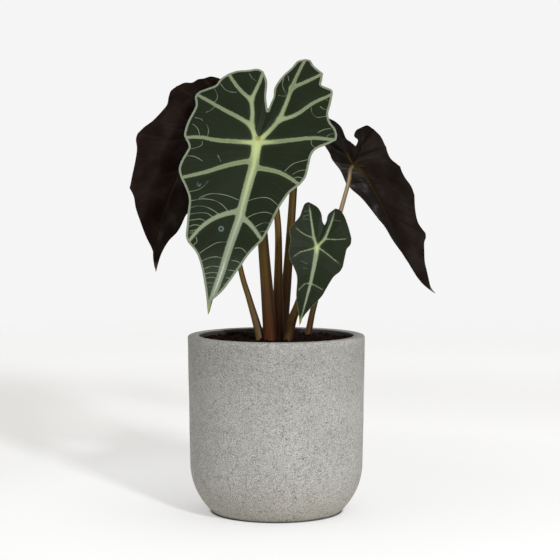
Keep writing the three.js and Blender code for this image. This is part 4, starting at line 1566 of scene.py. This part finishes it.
def make_stalk(leaf, material):
    """A grooved tube from the corm to the blade."""
    line = stalk_line(leaf)
    share = np.linspace(0, 1, STALK_STEPS + 1)
    low, high = leaf.radii
    radius = low + (high - low) * share**STALK_TAPER
    length = lengths_of(line)
    foot = FOOT_SWELLS[leaf.name]
    from_foot = (line[:, 2] - FOOT_HEIGHT) / foot.rise
    from_neck = (length[-1] - length) / (NECK_FLARE_RADII * high)
    radius = radius * (1 + foot.share * np.exp(-(from_foot**2)))
    radius = radius * (1 + NECK_FLARE * np.exp(-(from_neck**2)))
    angles = np.linspace(0, 2 * np.pi, STALK_SIDES + 1)
    section = 1 + GROOVE_DEPTH * np.cos(GROOVES * angles) + OVAL_SHARE * np.cos(2 * angles + 1)
    sides, others = rings_along(line)
    reach = radius[:, None] * section[None]
    places = (
        line[:, None]
        + (reach * np.cos(angles))[..., None] * sides[:, None]
        + (reach * np.sin(angles))[..., None] * others[:, None]
    )
    around = np.broadcast_arrays(np.cos(angles), np.sin(angles), share[:, None])
    flank = (places - line[:, None]) / np.maximum(reach, TINY)[..., None]
    fields = {"fibre": np.stack(around, axis=-1), "flank": flank}
    stalk = bent_grid(f"{leaf.name}_stalk", places, fields)
    edit_all(
        stalk,
        (bpy.ops.mesh.remove_doubles, {"threshold": SEAM_MERGE * MM}),
        (bpy.ops.mesh.fill_holes, {"sides": 0}),
        (bpy.ops.mesh.normals_make_consistent, {"inside": False}),
    )
    stalk.data.materials.append(material)
    finish_piece(stalk, STALK_SLOTS[leaf.name], f"petiole_{leaf.name}")


# %% [markdown]
# Stalk colours run from maroon at the soil through olive brown to a lighter top, and differ from
# stalk to stalk. Streaks of lighter and darker fibre run lengthwise under a waxy gloss.

# %% Stalk materials
def build_fibre_group():
    """Lengthwise streaks for a stalk."""
    group, given, made = new_group("stalk fibres", [("Scale", "number")], [("Streak", "number")])
    along_stalk = scaled(group, attribute(group, "fibre", "Vector"), (1, 1, 1.2))
    streak = grain(group, along_stalk, given.outputs["Scale"], 4, 0.6)
    fill_socket(group, made.inputs["Streak"], streak)
    return group


FIBRES = build_fibre_group()
StalkTones = namedtuple("StalkTones", "foot middle top")
MAROON = (0.120, 0.040, 0.016, 1)
OLIVE_GOLD = (0.165, 0.120, 0.026, 1)
STALK_TONES = {
    "front": StalkTones(MAROON, (0.085, 0.036, 0.012, 1), (0.092, 0.056, 0.010, 1)),
    "small": StalkTones((0.125, 0.072, 0.030, 1), (0.185, 0.108, 0.022, 1), OLIVE_GOLD),
    "left": StalkTones(
        (0.20, 0.125, 0.060, 1), (0.150, 0.095, 0.026, 1), (0.15, 0.09, 0.022, 1)
    ),
    "right": StalkTones(
        (0.115, 0.062, 0.020, 1), (0.100, 0.058, 0.017, 1), (0.44, 0.34, 0.20, 1)
    ),
    "mid": StalkTones(MAROON, (0.110, 0.048, 0.012, 1), (0.165, 0.095, 0.018, 1)),
    "back": StalkTones(MAROON, (0.080, 0.038, 0.012, 1), (0.100, 0.062, 0.012, 1)),
}
STALK_SLOTS = {leaf.name: "bronze_stalk" for leaf in LEAVES}
STALK_SLOTS.update(left="olive_stalk", right="pale_stalk")
NECK_BROWN = (0.110, 0.085, 0.040, 1)
STREAK_TINT = (0.60, 0.55, 0.50, 1)
FLANK_PAINTED_SHADE = (0.42, 0.36, 0.34, 1)


def stalk_material(name):
    """A stalk's skin, with painted shade along one flank."""
    tones = STALK_TONES[name]
    material, tree, shader = new_material(f"{name} stalk skin")
    place = object_place(tree)
    drift = times_add(tree, grain(tree, place, 25), 0.05, -0.025)
    height = calc(tree, "ADD", axis_of(tree, place, "Z"), drift)
    skin = mix(tree, ease(tree, height, 0.18, 0.215), tones.foot, tones.middle)
    skin = mix(tree, ease(tree, height, 0.215, 0.255), skin, tones.top)
    streak = use_group(tree, FIBRES, Scale=5.0).outputs["Streak"]
    skin = mix(tree, ease(tree, streak, 0.35, 0.7), skin, STREAK_TINT, "MULTIPLY")
    # Painted shade: one flank of each stalk is darkened along its length, as its shaded side.
    flank = axis_of(tree, attribute(tree, "flank", "Vector"), "X")
    painted_flank_shade = ease(tree, times_add(tree, streak, 0.5, flank), 0.25, 0.9)
    skin = mix(tree, painted_flank_shade, skin, FLANK_PAINTED_SHADE, "MULTIPLY")
    share = axis_of(tree, attribute(tree, "fibre", "Vector"), "Z")
    skin = mix(tree, ease(tree, share, 0.93, 0.99), skin, NECK_BROWN)
    fill_shader(
        tree,
        shader,
        Base_Color=skin,
        Roughness=times_add(tree, streak, 0.2, 0.38),
        Normal=bump(tree, streak, 0.0006, 0.4),
        Specular_IOR_Level=0.12,
    )
    return material


for leaf in LEAVES:
    make_stalk(leaf, stalk_material(leaf.name))

# %% [markdown]
# The pot is cast concrete: a flat base, one wide corner, a wall that opens a little, and a softened
# rim. A turned form is drawn as half a section and spun, so the profile is extruded corner by
# corner from one point and then turned about the upright axis.

# %% Pot
POT_HEIGHT = 180
POT_RIM_RADIUS = 90
POT_WALL_RADIUS = 88
POT_BASE_RADIUS = 65
POT_CORNER_RADIUS = 66
POT_WALL = 12.3
POT_FLOOR = 15
POT_EDGE_RADIUS = 2.5
POT_SPIN_STEPS = 180
WALL_STEP = 4.0
CORNER_STEPS = 20
BOWL_STEPS = 16
EDGE_STEPS = 6
TURNED_MERGE = 0.02


def arc(centre, radius, start, end, steps):
    """Points along an arc of a profile, with angles in degrees."""
    angles = np.radians(np.linspace(start, end, steps + 1))
    return [(centre[0] + radius * math.cos(a), centre[1] + radius * math.sin(a)) for a in angles]


def straight(start, end, step):
    """Points along a straight stretch of a profile, without its ends."""
    count = max(int(math.dist(start, end) / step), 1)
    return [tuple(np.array(start) + (np.array(end) - start) * k / count) for k in range(1, count)]


def wall_radius(height):
    """Outer radius of the wall above the corner."""
    share = (height - POT_CORNER_RADIUS) / (POT_HEIGHT - POT_CORNER_RADIUS)
    return POT_WALL_RADIUS + (POT_RIM_RADIUS - POT_WALL_RADIUS) * share


def pot_profile():
    """Half a section of the pot, from the middle of its base round to the middle of its floor."""
    centre = POT_WALL_RADIUS - POT_CORNER_RADIUS
    lift = math.sqrt(POT_CORNER_RADIUS**2 - (POT_BASE_RADIUS - centre) ** 2)
    start = math.degrees(math.atan2(-lift, POT_BASE_RADIUS - centre))
    corner = arc((centre, lift), POT_CORNER_RADIUS, start, 0, CORNER_STEPS)
    edge = POT_EDGE_RADIUS
    outer_rim = arc((POT_RIM_RADIUS - edge, POT_HEIGHT - edge), edge, 0, 90, EDGE_STEPS)
    inside = wall_radius(POT_HEIGHT - edge) - POT_WALL
    inner_rim = arc((inside + edge, POT_HEIGHT - edge), edge, 90, 180, EDGE_STEPS)
    bowl = POT_CORNER_RADIUS - POT_WALL
    foot = wall_radius(POT_CORNER_RADIUS) - POT_WALL
    inner_corner = arc((foot - bowl, POT_FLOOR + bowl), bowl, 0, -90, BOWL_STEPS)
    return [
        (0, 0),
        (POT_BASE_RADIUS / 2, 0),
        *corner,
        *straight(corner[-1], outer_rim[0], WALL_STEP),
        *outer_rim,
        *straight(outer_rim[-1], inner_rim[0], WALL_STEP / 2),
        *inner_rim,
        *straight(inner_rim[-1], inner_corner[0], WALL_STEP),
        *inner_corner,
        (0, POT_FLOOR),
    ]


def turned(name, profile, steps):
    """A profile of radius and height points, spun about the Z axis into a closed form."""
    bpy.ops.object.select_all(action="DESELECT")
    bpy.ops.mesh.primitive_plane_add(size=MM, location=(0, 0, 0))
    obj = bpy.context.object
    obj.name = name
    bpy.ops.object.mode_set(mode="EDIT")
    bpy.ops.mesh.select_all(action="SELECT")
    bpy.ops.mesh.merge(type="CENTER")
    first = Vector((profile[0][0], 0, profile[0][1])) * MM
    bpy.ops.transform.translate(value=first)
    for (r0, z0), (r1, z1) in zip(profile, profile[1:]):
        step = Vector((r1 - r0, 0, z1 - z0)) * MM
        bpy.ops.mesh.extrude_region_move(TRANSFORM_OT_translate={"value": step})
    bpy.ops.mesh.select_all(action="SELECT")
    bpy.ops.mesh.spin(steps=steps, angle=2 * math.pi, center=(0, 0, 0), axis=(0, 0, 1))
    bpy.ops.mesh.select_all(action="SELECT")
    bpy.ops.mesh.remove_doubles(threshold=TURNED_MERGE * MM)
    bpy.ops.mesh.normals_make_consistent(inside=False)
    bpy.ops.object.mode_set(mode="OBJECT")
    return obj


CAST_WAVER = 0.22
SLOW_WAVE = 34
QUICK_WAVE = 9
QUICK_SHARE = 0.4
STILL_HEIGHT = 2
STILL_RADIUS = 5


def make_pot(material):
    """The pot, with the slight unevenness of a hand-finished casting."""
    pot = turned("concrete_pot", pot_profile(), POT_SPIN_STEPS)
    places = mesh_places(pot)
    radii = np.hypot(places[:, 0], places[:, 1])
    slow = np.array([noise.noise(Vector(place) / SLOW_WAVE) for place in places])
    quick = np.array([noise.noise(Vector(place) / QUICK_WAVE) for place in places])
    moved = (places[:, 2] > STILL_HEIGHT) & (radii > STILL_RADIUS)
    push = 1 + CAST_WAVER * (slow + QUICK_SHARE * quick) * moved / np.maximum(radii, 1)
    places[:, :2] *= push[:, None]
    move_to(pot, places)
    pot.data.materials.append(material)
    finish_piece(pot, "concrete", "pot")


# %% [markdown]
# Concrete is a mid grey with soft clouds, a sandy grain, and small dark pits where air sat against
# the mould. Towards the rim the wall is darker with painted shade, and the rim is paler with wear
# and a painted highlight. The inside is darker, stained by wet soil and with painted shade in the
# recess. Pits come from a cell pattern in which only some cells hold one.

# %% Concrete material
CONCRETE_DARK = (0.368, 0.359, 0.333, 1)
CONCRETE_PALE = (0.405, 0.397, 0.370, 1)
FOOT_TINT = (0.97, 0.94, 0.88, 1)
PIT_DARK = (0.075, 0.070, 0.062, 1)
RIM_WEAR_AND_HIGHLIGHT = (0.58, 0.57, 0.54, 1)
DAMP_STAIN_AND_SHADE = (0.020, 0.0155, 0.0135, 1)
PitSize = namedtuple("PitSize", "scale size share depth")
PIT_SIZES = (
    PitSize(640.0, 0.34, 0.42, 0.8),
    PitSize(330.0, 0.26, 0.30, 1.0),
    PitSize(120.0, 0.13, 0.16, 1.0),
)


def build_pits_group():
    """A mask of small scattered spots, 1 in a spot and 0 elsewhere."""
    group, given, made = new_group(
        "scattered pits",
        [("Vector", "vector"), ("Scale", "number"), ("Size", "number"), ("Share", "number")],
        [("Mask", "number")],
    )
    cells = add_node(
        group,
        "ShaderNodeTexVoronoi",
        {"feature": "F1"},
        Vector=given.outputs["Vector"],
        Scale=given.outputs["Scale"],
    )
    drawn = add_node(group, "ShaderNodeSeparateColor", Color=cells.outputs["Color"])
    picked = calc(group, "LESS_THAN", drawn.outputs["Red"], given.outputs["Share"])
    width = calc(group, "ADD", drawn.outputs["Green"], 0.4)
    width = times(group, given.outputs["Size"], width)
    spread = calc(group, "DIVIDE", cells.outputs["Distance"], width)
    spot = ease(group, calc(group, "SUBTRACT", 1.0, spread, clamp=True), 0.0, 0.5)
    fill_socket(group, made.inputs["Mask"], times(group, picked, spot))
    return group


PITS = build_pits_group()


def scattered(tree, place, pit):
    """A mask of pits of one size."""
    made = use_group(tree, PITS, Vector=place, Scale=pit.scale, Size=pit.size, Share=pit.share)
    return times(tree, made.outputs["Mask"], pit.depth)


def pits_and_scratches(tree, place, flattened):
    """A mask of all the pits, and of short scratches between them."""
    wavering = calc(tree, "SUBTRACT", grain(tree, flattened, 260, 2), 0.5)
    scratch = ease(tree, calc(tree, "ABSOLUTE", wavering), 0.022, 0.004)
    mask = times(tree, scratch, ease(tree, grain(tree, place, 190, 3), 0.50, 0.60), 0.7)
    for pit in PIT_SIZES:
        mask = calc(tree, "MAXIMUM", mask, scattered(tree, flattened, pit))
    return mask


def concrete_material():
    """Cast concrete: clouds, sand, pits, rim wear, a soil stain, painted highlight and shade."""
    material, tree, shader = new_material("cast concrete")
    place = object_place(tree)
    height = axis_of(tree, place, "Z")
    flattened = scaled(tree, place, (1, 1, 1.9))
    clouds = ease(tree, grain(tree, place, 20, 4, 0.6), 0.3, 0.7)
    sand = grain(tree, flattened, 920, 2, 0.6)
    grit = grain(tree, flattened, 330, 3, 0.65)
    pits = pits_and_scratches(tree, place, flattened)
    tone = mix(tree, clouds, CONCRETE_DARK, CONCRETE_PALE)
    tone = mix(tree, 1.0, tone, ease(tree, sand, 0.38, 0.62, 0.66, 1.33), "MULTIPLY")
    tone = mix(tree, 1.0, tone, ease(tree, grit, 0.28, 0.72, 0.95, 1.05), "MULTIPLY")
    tone = mix(tree, ease(tree, height, 0.055, 0.0), tone, FOOT_TINT, "MULTIPLY")
    # Painted shade: the wall grows darker towards the rim.
    tone = mix(tree, 1.0, tone, ease(tree, height, 0.10, 0.172, 1.0, 0.84), "MULTIPLY")
    tone = mix(tree, times(tree, pits, 0.8), tone, PIT_DARK)
    # The rim is paler: wear, and a painted highlight on its top.
    at_rim = ease(tree, height, 0.1735, 0.1785)
    tone = mix(tree, times(tree, at_rim, ease(tree, sand, 0.4, 0.6), 0.3), tone, RIM_WEAR_AND_HIGHLIGHT)
    # The inside is darker: a stain from the soil, and painted shade in the recess.
    inside = ease(tree, length_of(tree, scaled(tree, place, (1, 1, 0))), 0.0795, 0.0780)
    damp_and_shade = times(tree, inside, ease(tree, height, 0.10, 0.12), 0.92)
    lumps = times_add(tree, sand, 0.8, times(tree, grit, 0.4))
    fill_shader(
        tree,
        shader,
        Base_Color=mix(tree, damp_and_shade, tone, DAMP_STAIN_AND_SHADE),
        Roughness=times_add(tree, sand, 0.2, 0.72),
        Normal=bump(tree, calc(tree, "SUBTRACT", lumps, pits), 0.0010, 0.6),
        Specular_IOR_Level=0.3,
    )
    return material


make_pot(concrete_material())

# %% [markdown]
# Potting mix is dark, damp and crumbly. Its body fills the pot as the solid does, its top is a
# height that rolls and clumps, and loose crumbs lie on it. The crumbs are one small rock shape
# copied with its own turn and size, pressed half into the surface.

# %% Soil
SOIL_LEVEL = 175
SOIL_RINGS = 70
SOIL_SPOKES = 180
SOIL_CORNER_STEPS = 10
HEAP = (26, 36)
HEAP_RISE = 1.8
HEAP_SPREAD = 900
CLUMP_RISE = 1.1
CLUMP_WAVE = 6
LUMP_RISE = 0.7
LUMP_WAVE = 2.6
CRUMBS = 520
CRUMB_SEED = 7
CRUMB_FROM_WALL = 4
CRUMB_LEAST = 0.7
CRUMB_RANGE = 1.5
CRUMB_LIFT = 0.25
CRUMB_STRETCH = (0.6, 1.25)


def inner_radius(height):
    """Inner radius of the pot's wall."""
    return wall_radius(height) - POT_WALL


def soil_height(x, y):
    """Height of the soil's top: the solid's slow roll, with clumps on it."""
    ripples = 0.7 * math.sin(x / 9 + 0.6) * math.cos(y / 11) + 0.4 * math.sin((x + 2 * y) / 7)
    rise = HEAP_RISE * math.exp(-((x - HEAP[0]) ** 2 + (y - HEAP[1]) ** 2) / HEAP_SPREAD)
    clumps = CLUMP_RISE * noise.noise(Vector((x, y, 3)) / CLUMP_WAVE)
    lumps = LUMP_RISE * noise.noise(Vector((x, y, 9)) / LUMP_WAVE)
    return SOIL_LEVEL + ripples + rise + clumps + lumps


def soil_profile():
    """Half a section of the soil's underside and side, from the middle out to the top edge."""
    bowl = POT_CORNER_RADIUS - POT_WALL
    foot = inner_radius(POT_CORNER_RADIUS)
    corner = arc((foot - bowl, POT_FLOOR + bowl), bowl - GAP, -90, 0, SOIL_CORNER_STEPS)
    return [(0, POT_FLOOR + GAP), *corner, (inner_radius(SOIL_LEVEL) - GAP, SOIL_LEVEL)]


def make_soil_body():
    """The filling of the pot, spun from its side and capped with a rolling top."""
    radius = inner_radius(SOIL_LEVEL) - GAP
    shares = np.linspace(1, 0, SOIL_RINGS + 1)
    profile = [*soil_profile(), *((radius * share, SOIL_LEVEL) for share in shares[1:])]
    body = turned("soil_body", profile, SOIL_SPOKES)
    places = mesh_places(body)
    top = places[:, 2] > SOIL_LEVEL - 1
    for index in np.flatnonzero(top):
        places[index, 2] = soil_height(places[index, 0], places[index, 1])
    move_to(body, places)
    return body


def add_crumb(random):
    """A rough lump, a little flattened, at a random place on the soil."""
    reach = (inner_radius(SOIL_LEVEL) - CRUMB_FROM_WALL) * math.sqrt(random.random())
    angle = random.uniform(0, 2 * math.pi)
    x, y = reach * math.cos(angle), reach * math.sin(angle)
    size = CRUMB_LEAST + CRUMB_RANGE * random.random() ** 2
    bpy.ops.mesh.primitive_ico_sphere_add(
        subdivisions=1,
        radius=size * MM,
        location=(x * MM, y * MM, (soil_height(x, y) + CRUMB_LIFT * size) * MM),
        rotation=tuple(random.uniform(0, 2 * math.pi, 3)),
    )
    crumb = bpy.context.object
    crumb.scale = tuple(random.uniform(*CRUMB_STRETCH, 3))
    return crumb


def make_soil(material):
    """The soil's body with its crumbs."""
    random = np.random.default_rng(CRUMB_SEED)
    body = make_soil_body()
    crumbs = [add_crumb(random) for _ in range(CRUMBS)]
    bpy.ops.object.select_all(action="DESELECT")
    for crumb in crumbs:
        crumb.select_set(True)
    bpy.ops.object.transform_apply(location=True, rotation=True, scale=True)
    soil = join("potting_soil", [body, *crumbs])
    soil.data.materials.append(material)
    finish_piece(soil, "potting_mix", "soil")


# %% [markdown]
# The soil's colour is a near-black brown with a few paler fibres, and the corm, hidden below it,
# gets a brown fibrous skin. The corm's solid already has its right shape, so it only takes a
# material in its own slot.

# %% Soil and corm materials
SOIL_BLACK = (0.0040, 0.0015, 0.0011, 1)
SOIL_BROWN = (0.0175, 0.0068, 0.0050, 1)
FIBRE_FLECKS = PitSize(160.0, 0.14, 0.06, 0.4)
FLECK_BROWN = (0.080, 0.050, 0.038, 1)
HUSK_DARK = (0.05, 0.028, 0.015, 1)
HUSK_PALE = (0.16, 0.10, 0.06, 1)


def soil_material():
    """Dark crumbly mix with a few paler flecks."""
    material, tree, shader = new_material("potting mix")
    place = object_place(tree)
    tone = mix(tree, grain(tree, place, 260, 4), SOIL_BLACK, SOIL_BROWN)
    fill_shader(
        tree,
        shader,
        Base_Color=mix(tree, scattered(tree, place, FIBRE_FLECKS), tone, FLECK_BROWN),
        Roughness=times_add(tree, grain(tree, place, 500), 0.2, 0.75),
        Normal=bump(tree, grain(tree, place, 900, 4), 0.001, 0.7),
        Specular_IOR_Level=0.03,
    )
    return material


def corm_material():
    """A brown husk in hoops."""
    material, tree, shader = new_material("corm skin")
    hoops = grain(tree, scaled(tree, object_place(tree), (1, 1, 6)), 60, 4)
    fill_shader(
        tree,
        shader,
        Base_Color=mix(tree, hoops, HUSK_DARK, HUSK_PALE),
        Roughness=times_add(tree, hoops, 0.2, 0.7),
        Normal=bump(tree, hoops, 0.001, 0.6),
    )
    return material


make_soil(soil_material())
corm = frame["nodes"]["corm"]
corm.data.materials.clear()
corm.data.materials.append(corm_material())
print("corm material:", corm.data.materials[0].name)

# %% [markdown]
# The floor is a plain pale disc that is solid near the pot and clears away further out, so that the
# backdrop carries on behind it and no edge shows from any side. Near the pot it is darker and it
# glows, which is painted light: it keeps the floor's lit tone and lightens the cast shadow. The
# glow is a little stronger on the left than on the right, and both stop at the foot of the pot,
# where the floor turns dark as a painted contact shadow.

# %% Floor
FLOOR_RADIUS = 3
FLOOR_SIDES = 96


def floor_material():
    """Pale floor with a painted glow, a painted contact shadow at the pot's foot, clear far out."""
    material, tree, shader = new_material("studio floor")
    place = object_place(tree)
    far = length_of(tree, place)
    # Darker near the pot, so that with the painted glow below the cast shadow comes out lighter.
    paint_and_shade = ease(tree, far, 0.22, 0.6, 0.61, 0.93)
    # Painted contact shadow: a dark ring at the pot's foot.
    paint_and_shade = times(tree, paint_and_shade, ease(tree, far, 0.0660, 0.0684, 0.25, 1))
    # Painted light: a glow that keeps the floor's lit tone near the pot and lightens its shadow.
    near_painted_glow = ease(tree, far, 0.22, 0.55, 0.375, 0.15)
    far_painted_glow = ease(tree, far, 0.9, 1.5, 0, 0.11)
    # The painted glow leans to the left, near the pot only.
    tilt = ease(tree, axis_of(tree, place, "X"), -0.25, 0.15, 0.035, -0.028)
    tilt = times(tree, tilt, ease(tree, far, 0.45, 0.25))
    glow = calc(tree, "ADD", calc(tree, "ADD", near_painted_glow, far_painted_glow), tilt)
    fill_shader(
        tree,
        shader,
        Base_Color=paint_and_shade,
        Roughness=0.9,
        Specular_IOR_Level=0.1,
        Emission_Color=times(tree, glow, ease(tree, far, 0.0655, 0.0700)),
        Emission_Strength=1.0,
        Alpha=ease(tree, far, 2.4, 1.0),
    )
    return material


bpy.ops.object.select_all(action="DESELECT")
bpy.ops.mesh.primitive_circle_add(vertices=FLOOR_SIDES, radius=FLOOR_RADIUS, fill_type="NGON")
floor = bpy.context.object
floor.name = "floor"
floor.data.materials.append(floor_material())
